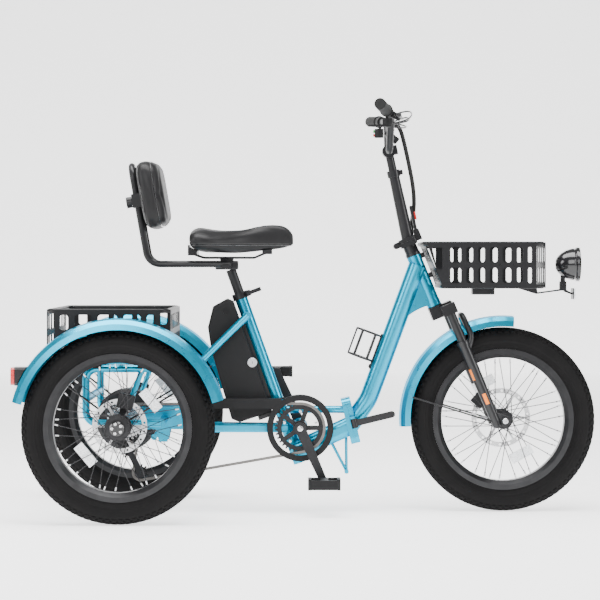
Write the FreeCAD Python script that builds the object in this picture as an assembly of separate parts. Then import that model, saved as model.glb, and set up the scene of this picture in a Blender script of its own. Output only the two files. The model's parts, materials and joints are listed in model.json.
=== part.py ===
import FreeCAD, Part
import math
import os

# Folding electric adult tricycle: one front wheel on a suspension fork, two driven rear wheels.
# Millimetres. +X is forward, +Y is the rider's left, +Z is up. Z = 0 is the ground, and X = Y = 0
# is the middle of the machine's length and width.

V = FreeCAD.Vector

# ---------------------------------------------------------------- driving dimensions
WHEELBASE = 1141.0          # rear axle to front axle
TRACK = 690.0               # centre to centre of the rear tyres
TYRE_R = 279.0              # outer radius of a 20 x 3 inch tyre
TYRE_W = 76.0
TYRE_WALL = 4.5
BEAD_R = 206.0              # where the tyre's edge meets the rim
BEAD_HALF = 24.0            # half the width over the tyre's two edges
RIM_INNER_R = 187.0
RIM_FLANGE_R = 214.0
RIM_WALL = 2.3
SPOKES = 36
SPOKE_R = 1.15
SPOKE_SET = 4.2             # spoke heads beside the flange's middle
NIPPLE_R = 2.3
NIPPLE_L = 13.0

FENDER_R = 315.0            # outer radius of every mudguard
FENDER_SKIRT_R = 282.0      # how far a mudguard's sides reach towards the axle
FENDER_W = 96.0
FENDER_T = 2.0
TAIL_LAMP_DEPTH = 30.0

BB_AHEAD = 525.0            # bottom bracket ahead of the rear axle
BB_DROP = 22.7              # bottom bracket below the axle line
SEAT_LEAN = 19.7            # seat tube's angle from the vertical
SEAT_BEHIND_BB = 37.8
SEAT_TUBE_UP = 444.0
SEAT_TUBE_DOWN = 104.0
SEAT_TUBE_R = 19.0
SEAT_POST_R = 15.2
CRANK_L = 175.0
CRANK_TURN = 24.0           # right crank, forward of straight down
CHAINRING_TEETH = 36
CASSETTE_TEETH = (28, 24, 22, 20, 18, 16, 14)
CHAIN_COG = 1               # which of them the chain lies on
COG_STEP = 5.0
PULLEY_TEETH = 11
CHAIN_PITCH = 12.7
CHAIN_Y = -62.0

HINGE_AHEAD = 153.0         # frame hinge ahead of the bottom bracket
HINGE_ABOVE = 18.7
HINGE_LEAN = 13.7
HINGE_HALF_H = 70.0
HINGE_HALF_W = 46.0
HINGE_PLATE_T = 14.0
HINGE_PIN_Y = 58.0
HINGE_PIN_R = 5.0

HEAD_LEAN = 22.65           # steering axis from the vertical
HEAD_TUBE_L = 164.6
HEAD_TUBE_R = 22.0
FORK_OFFSET = 58.4          # front axle ahead of the steering axis
FORK_DROP = 397.5           # front axle below the head tube's lower end
STEERER_R = 14.3
LEG_Y = 75.0
LEG_AHEAD = 32.0
STANCHION_R = 14.0
LOWER_R = 17.0
FORK_TRAVEL = 30.0

POST_LEAN = 12.3            # handlebar post from the vertical
POST_FOOT_R = 19.0
POST_HEAD_R = 15.5
INNER_POST_R = 12.7
BAR_R = 11.1
BAR_HALF_W = 377.0
GRIP_R = 16.5
GRIP_L = 125.0

MAIN_TUBE_H = 57.0
MAIN_TUBE_W = 48.0
TUBE_WALL = 2.5
MAIN_TUBE_RISE = 24.5       # main tube's slope in degrees
DOWN_TUBE_H = 68.0
DOWN_TUBE_W = 55.0
STAY_R = 11.0

FRONT_BASKET_HALF_W = 150.0
FRONT_BASKET_H = 127.0
FRONT_BASKET_AHEAD = 114.0  # front basket's front rim ahead of the front axle
REAR_BASKET_L = 360.0
REAR_BASKET_HALF_W = 276.0
REAR_BASKET_H = 131.0
BASKET_RAIL_R = 6.5
BASKET_PLATE_T = 2.5

SHAFT_R = 8.5               # rear half shafts
RUN = 0.06                  # radial clearance of a turning or sliding fit
GAP = 0.3                   # clearance between pieces that only lie beside each other

# ---------------------------------------------------------------- derived places
REAR_OVERHANG = FENDER_R - 7.0
X_REAR = -(WHEELBASE + TYRE_R - REAR_OVERHANG) / 2
X_FRONT = X_REAR + WHEELBASE
AXLE_Z = TYRE_R
HALF_TRACK = TRACK / 2
BB = V(X_REAR + BB_AHEAD, 0, AXLE_Z - BB_DROP)
SIDES = (-1, 1)             # right, then left


def lean_frame(origin, lean_deg):
    """Placement with local Z leaning back from the vertical, local X forward of it and local Y as the world's."""
    a = math.radians(lean_deg)
    up, ahead = V(-math.sin(a), 0, math.cos(a)), V(math.cos(a), 0, math.sin(a))
    m = FreeCAD.Matrix(
        ahead.x, 0, up.x, origin.x,
        ahead.y, 1, up.y, origin.y,
        ahead.z, 0, up.z, origin.z,
        0, 0, 0, 1,
    )
    return FreeCAD.Placement(m)


def on(frame, x, y, z):
    return frame.multVec(V(x, y, z))


SEAT = lean_frame(BB, SEAT_LEAN)
SEAT = lean_frame(on(SEAT, -SEAT_BEHIND_BB, 0, 0), SEAT_LEAN)
HEAD = lean_frame(V(X_FRONT, 0, AXLE_Z), HEAD_LEAN)
HEAD = lean_frame(on(HEAD, -FORK_OFFSET, 0, FORK_DROP), HEAD_LEAN)
HINGE = lean_frame(BB + V(HINGE_AHEAD, 0, HINGE_ABOVE), HINGE_LEAN)
POST_PIN_BACK = 37.8        # post hinge pin behind the steering axis
SPLIT = HEAD_TUBE_L + 47.0  # and how high above the head tube's lower end
POST = lean_frame(on(HEAD, 2, 0, SPLIT), POST_LEAN)


# ---------------------------------------------------------------- shape helpers
def placed(shape, frame):
    out = shape.copy()
    out.Placement = frame.multiply(out.Placement)
    return out


def cyl(p, q, r):
    return Part.makeCylinder(r, (q - p).Length, p, q - p)


def tube(p, q, r, bore):
    return cyl(p, q, r).cut(cyl(p - (q - p) * 0.01, q + (q - p) * 0.01, bore))


def cone(p, q, r1, r2):
    return Part.makeCone(r1, r2, (q - p).Length, p, q - p)


def box(x0, x1, y0, y1, z0, z1):
    return Part.makeBox(x1 - x0, y1 - y0, z1 - z0, V(x0, y0, z0))


def fuse(shapes):
    shapes = list(shapes)
    out = shapes[0].multiFuse(shapes[1:]) if len(shapes) > 1 else shapes[0]
    return out.removeSplitter()


def mirror_y(shape):
    return shape.mirror(V(0, 0, 0), V(0, 1, 0))


def both_sides(shape):
    return [shape, mirror_y(shape)]


def bent_path(points, bend):
    """Wire of straight runs through points, joined by tangent arcs. bend is one radius or one for each corner."""
    bends = bend if isinstance(bend, (list, tuple)) else [bend] * (len(points) - 2)
    edges, start = [], points[0]
    for i in range(1, len(points) - 1):
        a, b, c = points[i - 1], points[i], points[i + 1]
        u, w = (a - b).normalize(), (c - b).normalize()
        turn = math.pi - u.getAngle(w)
        reach = bends[i - 1] * math.tan(turn / 2)
        p, q = b + u * reach, b + w * reach
        middle = b + (u + w).normalize() * (bends[i - 1] / math.cos(turn / 2) - bends[i - 1])
        if (p - start).Length > 1e-6:
            edges.append(Part.LineSegment(start, p).toShape())
        edges.append(Part.Arc(p, middle, q).toShape())
        start = q
    edges.append(Part.LineSegment(start, points[-1]).toShape())
    return Part.Wire(edges)


def sweep(path, profile):
    out = path.makePipeShell([profile], True, True)
    if out.Volume < 0:
        out.reverse()
    return Part.Solid(out.Shells[0])


def round_bar(points, r, bend):
    path = bent_path(points, bend)
    along = points[1] - points[0]
    return sweep(path, Part.Wire(Part.makeCircle(r, points[0], along)))


def oval_wire(centre, along, side, height, width):
    """Flat-sided oval, height across `side`'s normal and width along `side`, in the plane across `along`."""
    up = along.cross(side).normalize()
    side = side.normalize()
    r = width / 2 * 0.8
    a, b = height / 2, width / 2
    k = r * (1 - math.sqrt(0.5))

    def at(u, w):
        return centre + up * u + side * w

    arcs = []
    corners = [(1, 1), (-1, 1), (-1, -1), (1, -1)]
    ends = []
    for i, (su, sw) in enumerate(corners):
        first, last = at(su * (a - r), sw * b), at(su * a, sw * (b - r))
        middle = at(su * (a - k), sw * (b - k))
        if i % 2 == 0:
            first, last = last, first
        arcs.append(Part.Arc(first, middle, last).toShape())
        ends.append((first, last))
    edges = []
    for i in range(4):
        edges.append(arcs[i])
        edges.append(Part.LineSegment(ends[i][1], ends[(i + 1) % 4][0]).toShape())
    return Part.Wire(edges)


def oval_bar(points, height, width, bend):
    return sweep(bent_path(points, bend), oval_wire(points[0], points[1] - points[0], V(0, 1, 0), height, width))


def lathe(profile, centre):
    """Closed profile of (radius, y) points turned about the Y axis through centre."""
    pts = [V(r, y, 0) for r, y in profile]
    face = Part.Face(Part.makePolygon(pts + [pts[0]]))
    out = face.revolve(V(0, 0, 0), V(0, 1, 0), 360)
    out.translate(centre)
    return out


def plate(points, y0, y1):
    """Flat plate of (x, z) corners between two values of y."""
    pts = [V(x, y0, z) for x, z in points]
    return Part.Face(Part.makePolygon(pts + [pts[0]])).extrude(V(0, y1 - y0, 0))


def slab(points, z0, z1):
    """Flat plate of (x, y) corners between two heights."""
    pts = [V(x, y, z0) for x, y in points]
    return Part.Face(Part.makePolygon(pts + [pts[0]])).extrude(V(0, 0, z1 - z0))


def y_cyl(x, z, y0, y1, r):
    return cyl(V(x, y0, z), V(x, y1, z), r)


def soften(shape, r):
    """Rounds every edge, or leaves the shape as it is where the radius doesn't fit."""
    try:
        out = shape.makeFillet(r, shape.Edges)
        return out if out.isValid() and out.Volume > 0 else shape
    except Part.OCCError:
        return shape


def toothed_disc(teeth, thick, bore, centre):
    """Chain sprocket: roller seats cut from a disc, centred on `thick` about centre's y."""
    pitch_r = CHAIN_PITCH / 2 / math.sin(math.pi / teeth)
    tip_r = pitch_r + 3.2
    disc = cyl(centre - V(0, thick / 2, 0), centre + V(0, thick / 2, 0), tip_r)
    cuts = [cyl(centre - V(0, thick, 0), centre + V(0, thick, 0), bore)]
    for i in range(teeth):
        a = 2 * math.pi * i / teeth
        c = centre + V(pitch_r * math.cos(a), 0, pitch_r * math.sin(a))
        out = V(math.cos(a), 0, math.sin(a)) * 4
        cuts.append(cyl(c - V(0, thick, 0), c + V(0, thick, 0), 4.0))
        cuts.append(cyl(c + out - V(0, thick, 0), c + out + V(0, thick, 0), 4.6))
    return disc.cut(cuts)


def biggest(shape):
    return max(shape.Solids, key=lambda v: v.Volume)


NODES = {}


def keep(name, *shapes):
    """Adds solids to one node."""
    for s in shapes:
        NODES.setdefault(name, []).extend(s.Solids)


# ---------------------------------------------------------------- wheels
def tyre_outline(half_w, crown_r, bead_half):
    """Half outline of a tyre's outer or inner face, from its left edge over the crown to the right edge."""
    r = TYRE_W / 2
    mid_r = TYRE_R - r
    neck = BEAD_R + 9
    d = half_w * math.sqrt(0.5)
    lift = crown_r - mid_r
    bow = (neck + mid_r) / 2 - 3

    def half(sign):
        foot, shoulder = V(neck, sign * bead_half, 0), V(mid_r, sign * half_w, 0)
        side = Part.Arc(foot, V(bow, sign * (bead_half * 0.35 + half_w * 0.65), 0), shoulder)
        crown = Part.Arc(shoulder, V(mid_r + lift * math.sqrt(0.5), sign * d, 0), V(crown_r, 0, 0))
        return Part.LineSegment(V(BEAD_R, sign * bead_half, 0), foot), side, crown

    return [c.toShape() for c in half(-1) + half(1)]


def tyre(centre):
    r = TYRE_W / 2
    outer = tyre_outline(r, TYRE_R, BEAD_HALF)
    inner = tyre_outline(r - TYRE_WALL, TYRE_R - TYRE_WALL, BEAD_HALF - TYRE_WALL)
    edges = outer + inner
    for sign in SIDES:
        a, b = V(BEAD_R, sign * BEAD_HALF, 0), V(BEAD_R, sign * (BEAD_HALF - TYRE_WALL), 0)
        edges.append(Part.LineSegment(a, b).toShape())
    wire = Part.Wire(Part.__sortEdges__(edges))
    out = Part.Face(wire).revolve(V(0, 0, 0), V(0, 1, 0), 360)
    out.translate(centre)
    return out


def rim(centre):
    lip = BEAD_HALF + GAP
    seat = BEAD_R - GAP
    half = [
        (RIM_INNER_R, 15.0),
        (seat - 7, lip + RIM_WALL),
        (RIM_FLANGE_R, lip + RIM_WALL),
        (RIM_FLANGE_R, lip),
        (seat, lip),
        (seat, 13.0),
        (RIM_INNER_R + 9, 9.0),
    ]
    profile = half + [(r, -y) for r, y in reversed(half)]
    return lathe(profile, centre)


def wheel_spokes(centre, flange_r, flange_y):
    """Crossed spokes with their nipples. Leading and trailing spokes leave the flange on opposite faces."""
    out = []
    per_side = SPOKES // 2
    for side in SIDES:
        for k in range(per_side):
            lead = 1 if k % 2 else -1
            base = 2 * math.pi * (k + (0.5 if side > 0 else 0.0)) / per_side
            at_rim = base + lead * math.radians(63)
            p = V(flange_r * math.cos(base), side * (flange_y + SPOKE_SET * lead), flange_r * math.sin(base))
            q = V(RIM_INNER_R * math.cos(at_rim), side * 4.0, RIM_INNER_R * math.sin(at_rim))
            along = (q - p).normalize()
            q = q - along * (GAP + 3.5)
            spoke = cyl(p, q, SPOKE_R).fuse(cyl(q - along * NIPPLE_L, q, NIPPLE_R))
            spoke.translate(centre)
            out.append(spoke)
    return out


def valve(centre):
    """Valve stem through the rim's inner face."""
    stem = cyl(V(0, 0, -RIM_INNER_R + 0.5), V(0, 0, -RIM_INNER_R + 36), 3.2)
    cap = cyl(V(0, 0, -RIM_INNER_R + 24), V(0, 0, -RIM_INNER_R + 38), 4.2)
    out = stem.fuse(cap)
    out.rotate(V(0, 0, 0), V(0, 1, 0), 10)
    out.translate(centre)
    return out


def rotor(centre, r, carrier_r, y_mid):
    """Brake disc: a drilled ring on six arms."""
    c = centre + V(0, y_mid, 0)
    t = 1.0
    ring = cyl(c - V(0, t, 0), c + V(0, t, 0), r).cut(cyl(c - V(0, 3, 0), c + V(0, 3, 0), r - 15))
    hub = cyl(c - V(0, t, 0), c + V(0, t, 0), carrier_r + 7).cut(cyl(c - V(0, 3, 0), c + V(0, 3, 0), carrier_r))
    arms, holes = [], []
    for i in range(6):
        a = math.radians(60 * i)
        arm = box(carrier_r + 3, r - 12, -t, t, -3.5, 3.5)
        arm.rotate(V(0, 0, 0), V(0, 1, 0), math.degrees(-a))
        arm.translate(c)
        arms.append(arm)
        for k in range(3):
            b = a + math.radians(20 * k + 8)
            h = c + V((r - 7.5) * math.cos(b), 0, (r - 7.5) * math.sin(b))
            holes.append(cyl(h - V(0, 3, 0), h + V(0, 3, 0), 3.2))
    return fuse([ring, hub] + arms).cut(holes)


FRONT_AXLE = V(X_FRONT, 0, AXLE_Z)
FRONT_HUB_HALF = 60.0
FRONT_AXLE_R = 6.0
FRONT_FLANGE_R, FRONT_FLANGE_Y = 29.0, 32.0
ROTOR_R = 90.0
REAR_ROTOR_R = 80.0


def front_wheel():
    c = FRONT_AXLE
    keep("front_tyre", tyre(c))
    keep("front_rim", rim(c))
    keep("front_spokes", *wheel_spokes(c, FRONT_FLANGE_R - 3, FRONT_FLANGE_Y))
    bore = FRONT_AXLE_R + RUN
    f = FRONT_FLANGE_Y
    half = [(bore, 0), (14, 0), (14, f - 4), (FRONT_FLANGE_R, f - 1.2), (FRONT_FLANGE_R, f + 1.2), (20, f + 4)]
    left = [(20, 52.0), (12, 52.0), (12, FRONT_HUB_HALF), (bore, FRONT_HUB_HALF)]
    right = [(20, 44.0), (12, 52.0), (12, FRONT_HUB_HALF), (bore, FRONT_HUB_HALF)]
    profile = half[1:] + left + [(r, -y) for r, y in reversed(right)] + [(r, -y) for r, y in reversed(half[1:])]
    keep("front_hub", lathe(profile, c))
    keep("front_hub", rotor(c, ROTOR_R, 20 + RUN, 50.0))


REAR_FLANGE_R, REAR_FLANGE_Y = 37.0, 32.0
HUB_INNER = 56.0            # hub's inboard end, from the wheel's middle
HUB_CAP = 55.0              # hub cap's outer end, from the wheel's middle
DIFF_GEAR_Y = 14.0


def rear_wheel(side):
    name = "left" if side > 0 else "right"
    c = V(X_REAR, side * HALF_TRACK, AXLE_Z)
    keep(f"rear_tyre_{name}", tyre(c))
    keep(f"rear_rim_{name}", rim(c))
    keep(f"rear_spokes_{name}", *wheel_spokes(c, REAR_FLANGE_R - 3.5, REAR_FLANGE_Y))
    f, b = REAR_FLANGE_Y, SHAFT_R + RUN
    # y runs outboard here and is mirrored for the right side
    profile = [
        (b, -HUB_INNER), (18, -HUB_INNER), (18, -f - 6), (REAR_FLANGE_R, -f - 1.2), (REAR_FLANGE_R, -f + 1.2),
        (22, -f + 6), (22, f - 6), (REAR_FLANGE_R, f - 1.2), (REAR_FLANGE_R, f + 1.2), (26, f + 5), (b, f + 5),
    ]
    hub = lathe(profile, V(0, 0, 0))
    cap = lathe([(0, f + 5 + GAP), (22, f + 5 + GAP), (21, HUB_CAP - 3), (17, HUB_CAP), (0, HUB_CAP)], V(0, 0, 0))
    shaft_end = f + 3
    shaft = cyl(V(0, -HALF_TRACK + DIFF_GEAR_Y, 0), V(0, shaft_end, 0), SHAFT_R)
    gear = cone(V(0, -HALF_TRACK + DIFF_GEAR_Y, 0), V(0, -HALF_TRACK + DIFF_GEAR_Y + 12, 0), 16, 26)
    shaft = shaft.fuse(gear)
    disc = rotor(V(0, 0, 0), REAR_ROTOR_R, 18 + RUN, -HUB_INNER + 4)
    turned = [s if side > 0 else mirror_y(s) for s in (hub, cap, shaft, disc)]
    for s in turned:
        s.translate(c)
    keep(f"rear_hub_{name}", *turned)


# ---------------------------------------------------------------- mudguards
def fender(centre, start_deg, end_deg, half_w):
    """Arched guard with side skirts, from start to end angle about the axle."""
    r0, r1, t = FENDER_SKIRT_R, FENDER_R, FENDER_T
    shoulder = 16.0
    outer = [(r0, half_w), (r1 - shoulder, half_w - 3), (r1 - 4, half_w - shoulder), (r1, 0)]
    inner = [(r0, half_w - t), (r1 - shoulder - 1, half_w - t - 3), (r1 - 4 - t, half_w - shoulder), (r1 - t, 0)]
    ring = outer + [(r, -y) for r, y in reversed(outer[:-1])] + [(r, -y) for r, y in inner[:-1]]
    ring += [inner[-1]] + list(reversed(inner[:-1]))
    pts = [V(r, y, 0) for r, y in ring]
    face = Part.Face(Part.makePolygon(pts + [pts[0]]))
    out = face.revolve(V(0, 0, 0), V(0, 1, 0), -(end_deg - start_deg))
    out.rotate(V(0, 0, 0), V(0, 1, 0), -start_deg)
    out.translate(centre)
    return out


def around(centre, r, deg, y=0.0):
    """Point at an angle above straight ahead, about a wheel's centre."""
    a = math.radians(deg)
    return V(centre.x + r * math.cos(a), centre.y + y, centre.z + r * math.sin(a))


REAR_FENDER_START, REAR_FENDER_END = 15.0, 166.0
FRONT_FENDER_START, FRONT_FENDER_END = 84.0, 184.0
FENDER_BOLTS = (31.0, 142.6)
BEARING_R = 26.0            # rear axle bearing housings
BEARING_IN = 127.0          # inboard and outboard ends, from the wheel's middle
BEARING_OUT = 83.0


def rear_fender(side):
    name = "left" if side > 0 else "right"
    c = V(X_REAR, side * HALF_TRACK, AXLE_Z)
    keep(f"rear_fender_{name}", fender(c, REAR_FENDER_START, REAR_FENDER_END, FENDER_W / 2))
    y = -side * (FENDER_W / 2 + 3.2)
    stays = []
    for deg in FENDER_BOLTS:
        p = around(c, BEARING_R - 3, deg, -side * (BEARING_OUT - 3))
        q = around(c, FENDER_SKIRT_R + 8, deg, y)
        end = cyl(q - V(0, 3.1, 0), q + V(0, 3.1, 0), 6.0)
        bearing = y_cyl(c.x, c.z, c.y - 130, c.y + 130, BEARING_R)
        stays.append(cyl(p, q, 3.0).cut(bearing).fuse(end))
    x, z = c.x, c.z + FENDER_R - 24
    inner, outer = HALF_TRACK - FENDER_W / 2, REAR_BASKET_HALF_W + BASKET_PLATE_T
    bridge = box(x - 9, x + 9, outer + 0.01, inner - 0.4, z - 9, z + 9)
    bridge = bridge.cut(box(x - 20, x + 20, outer + 4, inner - 4.4, z - 20, z + 5))
    stays.append(bridge if side > 0 else mirror_y(bridge))
    keep(f"rear_fender_{name}", *stays)


def tail_lamp(side):
    """Lamp housing and red lens on a mudguard's tail."""
    name = "left" if side > 0 else "right"
    c = V(X_REAR, side * HALF_TRACK, AXLE_Z)
    back = X_REAR - REAR_OVERHANG
    z0, z1 = AXLE_Z + 121, AXLE_Z + 176
    body = box(back + 11, back + TAIL_LAMP_DEPTH + 24, c.y - 20, c.y + 20, z0, z1)
    body = body.makeFillet(8, [e for e in body.Edges if abs(e.Length - (TAIL_LAMP_DEPTH + 13)) < 0.1])
    body = body.cut(y_cyl(c.x, c.z, c.y - 60, c.y + 60, FENDER_R))
    lens = box(back, back + 11, c.y - 18, c.y + 18, z0 + 2, z1 - 2)
    lens = lens.makeFillet(7, [e for e in lens.Edges if abs(e.Length - 11) < 0.1])
    keep("tail_lamps", body)
    keep("tail_lamps", lens)


def wheel_reflector(centre, deg):
    """Reflector standing between the two rows of spokes."""
    p = around(V(0, 0, 0), 122.0, deg)
    out = soften(box(-15, 15, -5, 5, -36, 36), 2.0)
    out.rotate(V(0, 0, 0), V(0, 1, 0), -deg)
    out.translate(p + centre)
    return out


# ---------------------------------------------------------------- rear frame
TUBE_CROSS_X = X_REAR + 116.0       # lower front cross tube
TAIL_X = X_REAR - 104.0             # tail of the side loops
LOOP_Y = 230.0                      # side loops
LOOP_TOP = AXLE_Z + 164.0
LOOP_LOW = AXLE_Z + 4.0
LOOP_FRONT = X_REAR + 118.0


def seat_tube_shape():
    p, q = on(SEAT, 0, 0, -SEAT_TUBE_DOWN), on(SEAT, 0, 0, SEAT_TUBE_UP)
    out = tube(p, q, SEAT_TUBE_R, SEAT_POST_R + RUN)
    slot = box(-SEAT_TUBE_R - 5, 0, -1.2, 1.2, SEAT_TUBE_UP - 30, SEAT_TUBE_UP + 5)
    return out.cut(placed(slot, SEAT))


def seat_tube_solid():
    """The seat tube filled in, for trimming what is welded to it."""
    return cyl(on(SEAT, 0, 0, -SEAT_TUBE_DOWN), on(SEAT, 0, 0, SEAT_TUBE_UP), SEAT_TUBE_R)


BB_R = 21.0
BB_HALF = 36.5
SPINDLE_R = 8.5


def bb_shell():
    out = y_cyl(BB.x, BB.z, -BB_HALF, BB_HALF, BB_R)
    cups = [y_cyl(BB.x, BB.z, s * BB_HALF, s * (BB_HALF + 6), BB_R + 1.5) for s in (1,)]
    cups.append(mirror_y(cups[0]))
    web = plate([(BB.x - 12, BB.z - 14), (BB.x + 14, BB.z - 14), (BB.x + 24, BB.z - 44), (BB.x - 14, BB.z - 50)], -5, 5)
    out = fuse([out, web] + cups)
    return out.cut([y_cyl(BB.x, BB.z, -60, 60, SPINDLE_R + RUN), seat_tube_solid(), main_tube_solid()])


def main_tube_axis():
    """Two ends of the main tube's centre line."""
    end = on(HINGE, -HINGE_PLATE_T, 0, -18)
    a = math.radians(MAIN_TUBE_RISE)
    reach = HINGE_AHEAD + 22
    return end - V(math.cos(a), 0, math.sin(a)) * reach, end + V(math.cos(a), 0, math.sin(a)) * 20


def main_tube_solid(wall=0.0):
    p, q = main_tube_axis()
    return oval_bar([p, q], MAIN_TUBE_H - 2 * wall, MAIN_TUBE_W - 2 * wall, [])


def hinge_block(x0, x1):
    return placed(box(x0, x1, -HINGE_HALF_W - 60, HINGE_HALF_W + 60, -HINGE_HALF_H - 60, HINGE_HALF_H + 60), HINGE)


def main_tube():
    hollow = main_tube_solid(TUBE_WALL)
    return main_tube_solid().cut([hollow, seat_tube_solid(), hinge_block(-HINGE_PLATE_T, 60)])


def link_tube():
    """Thin brace from the seat tube to the frame hinge, above the main tube."""
    z = BB.z + 51
    p, q = V(BB.x - 70, 0, z), V(BB.x + HINGE_AHEAD, 0, z)
    return tube(p, q, 11, 8.5).cut([seat_tube_solid(), hinge_block(-HINGE_PLATE_T, 60)])


def fold_stand():
    """Wire foot under the main tube, carrying the folded frame."""
    foot = BB + V(141, 0, -136)
    r = 4.5
    tops = [BB + V(94, 0, -47), BB + V(140, 0, -25)]
    rods = [cyl(t, foot, r) for t in tops]
    toe = y_cyl(foot.x, foot.z, -26, 26, 6.5)
    return fuse(rods + [toe]).cut(main_tube_solid())


def chain_stay(side):
    p = V(BB.x - 38, side * 24, BB.z - 4)
    q = V(X_REAR + 170, side * 43, BB.z - 2)
    out = oval_bar([p, q], 26, 13, [])
    return out.cut([seat_tube_solid(), y_cyl(BB.x, BB.z, -60, 60, BB_R + 1.6), side_plate(side)])


DROP_Y = 44.0               # inner faces of the two side plates around the motor
DROP_T = 7.0


def side_plate(side):
    x0, x1 = X_REAR + 28, X_REAR + 181
    z0, z1 = AXLE_Z - 28, AXLE_Z + 40
    outline = [
        (x1, z0 + 10), (x1, z1 - 18), (x1 - 14, z1), (x0 + 12, z1), (x0, z1 - 12), (x0, z0 + 14),
        (x0 + 10, z0), (x0 + 62, z0), (x0 + 70, z0 - 38), (x0 + 96, z0 - 38), (x0 + 104, z0), (x1 - 10, z0),
    ]
    out = plate(outline, DROP_Y, DROP_Y + DROP_T)
    out = out.cut([cross_tube(TUBE_CROSS_X, LOOP_LOW)])
    return out if side > 0 else mirror_y(out)


def plate_plugs(side):
    """Round black plugs on a side plate's outer face."""
    plugs = []
    for dx, dz in ((74, 6), (84, -52), (162, 8)):
        y0 = DROP_Y + DROP_T
        plug = y_cyl(X_REAR + dx, AXLE_Z + dz, y0, y0 + 2.5, 9)
        plugs.append(plug if side > 0 else mirror_y(plug))
    return plugs


def cross_tube(x, z):
    return y_cyl(x, z, -LOOP_Y, LOOP_Y, STAY_R)


def side_loop(side):
    """Bent tube: from the seat tube back over the axle, down behind it and forward again below."""
    lug = on(SEAT, 0, 0, SEAT_TUBE_UP - 72)
    y0 = 53.0
    points = [
        V(lug.x + 2, side * y0, lug.z + 2),
        V(lug.x - 149, side * (y0 + 9), LOOP_TOP + 2),
        V(LOOP_FRONT - 22, side * LOOP_Y, LOOP_TOP),
        V(TAIL_X, side * LOOP_Y, LOOP_TOP),
        V(TAIL_X, side * LOOP_Y, LOOP_LOW),
        V(TUBE_CROSS_X, side * LOOP_Y, LOOP_LOW),
    ]
    loop = round_bar(points, STAY_R, [45, 60, 34, 34])
    stub = y_cyl(lug.x, lug.z, side * 2, side * (y0 + 6), STAY_R + 1) if side > 0 else None
    if stub is None:
        stub = mirror_y(y_cyl(lug.x, lug.z, 2, y0 + 6, STAY_R + 1))
    bearing = y_cyl(X_REAR, AXLE_Z, -400, 400, BEARING_R)
    return fuse([loop, stub]).cut([seat_tube_solid(), bearing])


def bearing_block(side):
    y0, y1 = HALF_TRACK - BEARING_IN, HALF_TRACK - BEARING_OUT
    ring = y_cyl(X_REAR, AXLE_Z, y0, y1, BEARING_R)
    ring = ring.cut(y_cyl(X_REAR, AXLE_Z, y0 - 5, y1 + 5, SHAFT_R + RUN))
    return ring if side > 0 else mirror_y(ring)


def loop_brace(side):
    """Diagonal from the side loop's top down to the axle bearing."""
    p = V(X_REAR + 62, side * LOOP_Y, LOOP_TOP)
    q = V(X_REAR + 4, side * LOOP_Y, AXLE_Z + 10)
    bearing = y_cyl(X_REAR, AXLE_Z, -400, 400, BEARING_R)
    top = cyl(V(X_REAR - 60, side * LOOP_Y, LOOP_TOP), V(X_REAR + 110, side * LOOP_Y, LOOP_TOP), STAY_R)
    return cyl(p, q, 8).cut([bearing, top])


def cross_tubes():
    places = [(TUBE_CROSS_X, LOOP_LOW), (TAIL_X, LOOP_LOW + 70), (X_REAR + 88, LOOP_TOP)]
    loops = [side_loop(s) for s in SIDES]
    return [biggest(cross_tube(x, z).cut(loops)) for x, z in places]


def rear_frame():
    keep("seat_tube", seat_tube_shape())
    keep("main_tube", bb_shell())
    keep("main_tube", main_tube())
    keep("main_tube", link_tube())
    keep("main_tube", fold_stand())
    keep("rear_frame", *[chain_stay(s) for s in SIDES])
    keep("rear_frame", *[side_plate(s) for s in SIDES])
    keep("rear_frame", *[p for s in SIDES for p in plate_plugs(s)])
    keep("rear_frame", *[side_loop(s) for s in SIDES])
    keep("rear_frame", *[bearing_block(s) for s in SIDES])
    keep("rear_frame", *[loop_brace(s) for s in SIDES])
    keep("rear_frame", *cross_tubes())


MOTOR_R = 93.0


def motor():
    """Motor and differential between the side plates, with a smaller cover on the left."""
    h = DROP_Y
    body = [(0, -h), (60, -h), (MOTOR_R - 10, -h + 4), (MOTOR_R, -h + 12), (MOTOR_R, h - 12), (MOTOR_R - 10, h - 4)]
    body += [(62, h), (62, h + 34), (54, h + 42), (26, h + 42), (26, h + 48), (0, h + 48)]
    shell = lathe(body, V(X_REAR, 0, AXLE_Z))
    room = lathe([(0, -36), (34, -36), (34, 36), (0, 36)], V(X_REAR, 0, AXLE_Z))
    bore = y_cyl(X_REAR, AXLE_Z, -300, 300, SHAFT_R + RUN)
    carrier = y_cyl(X_REAR, AXLE_Z, -h - 5, -30, CARRIER_R + RUN)
    plates = [side_plate(s) for s in SIDES]
    return shell.cut([room, bore, carrier] + plates)


CARRIER_R = 16.0            # sleeve that carries the cassette into the motor unit


def cassette():
    """Seven sprockets on the sleeve that turns the differential."""
    c = V(X_REAR, 0, AXLE_Z)
    shapes = []
    for i, teeth in enumerate(CASSETTE_TEETH):
        y = CHAIN_Y + (CHAIN_COG - i) * COG_STEP
        shapes.append(toothed_disc(teeth, 1.8, CARRIER_R, c + V(0, y, 0)))
    y_out = CHAIN_Y - (len(CASSETTE_TEETH) - CHAIN_COG) * COG_STEP
    sleeve = y_cyl(c.x, c.z, y_out, -32, CARRIER_R)
    spacers = y_cyl(c.x, c.z, y_out + 2, CHAIN_Y + CHAIN_COG * COG_STEP + 1, 20)
    out = fuse([sleeve, spacers] + shapes)
    return out.cut(y_cyl(c.x, c.z, -300, 0, SHAFT_R + 1.5))


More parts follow.
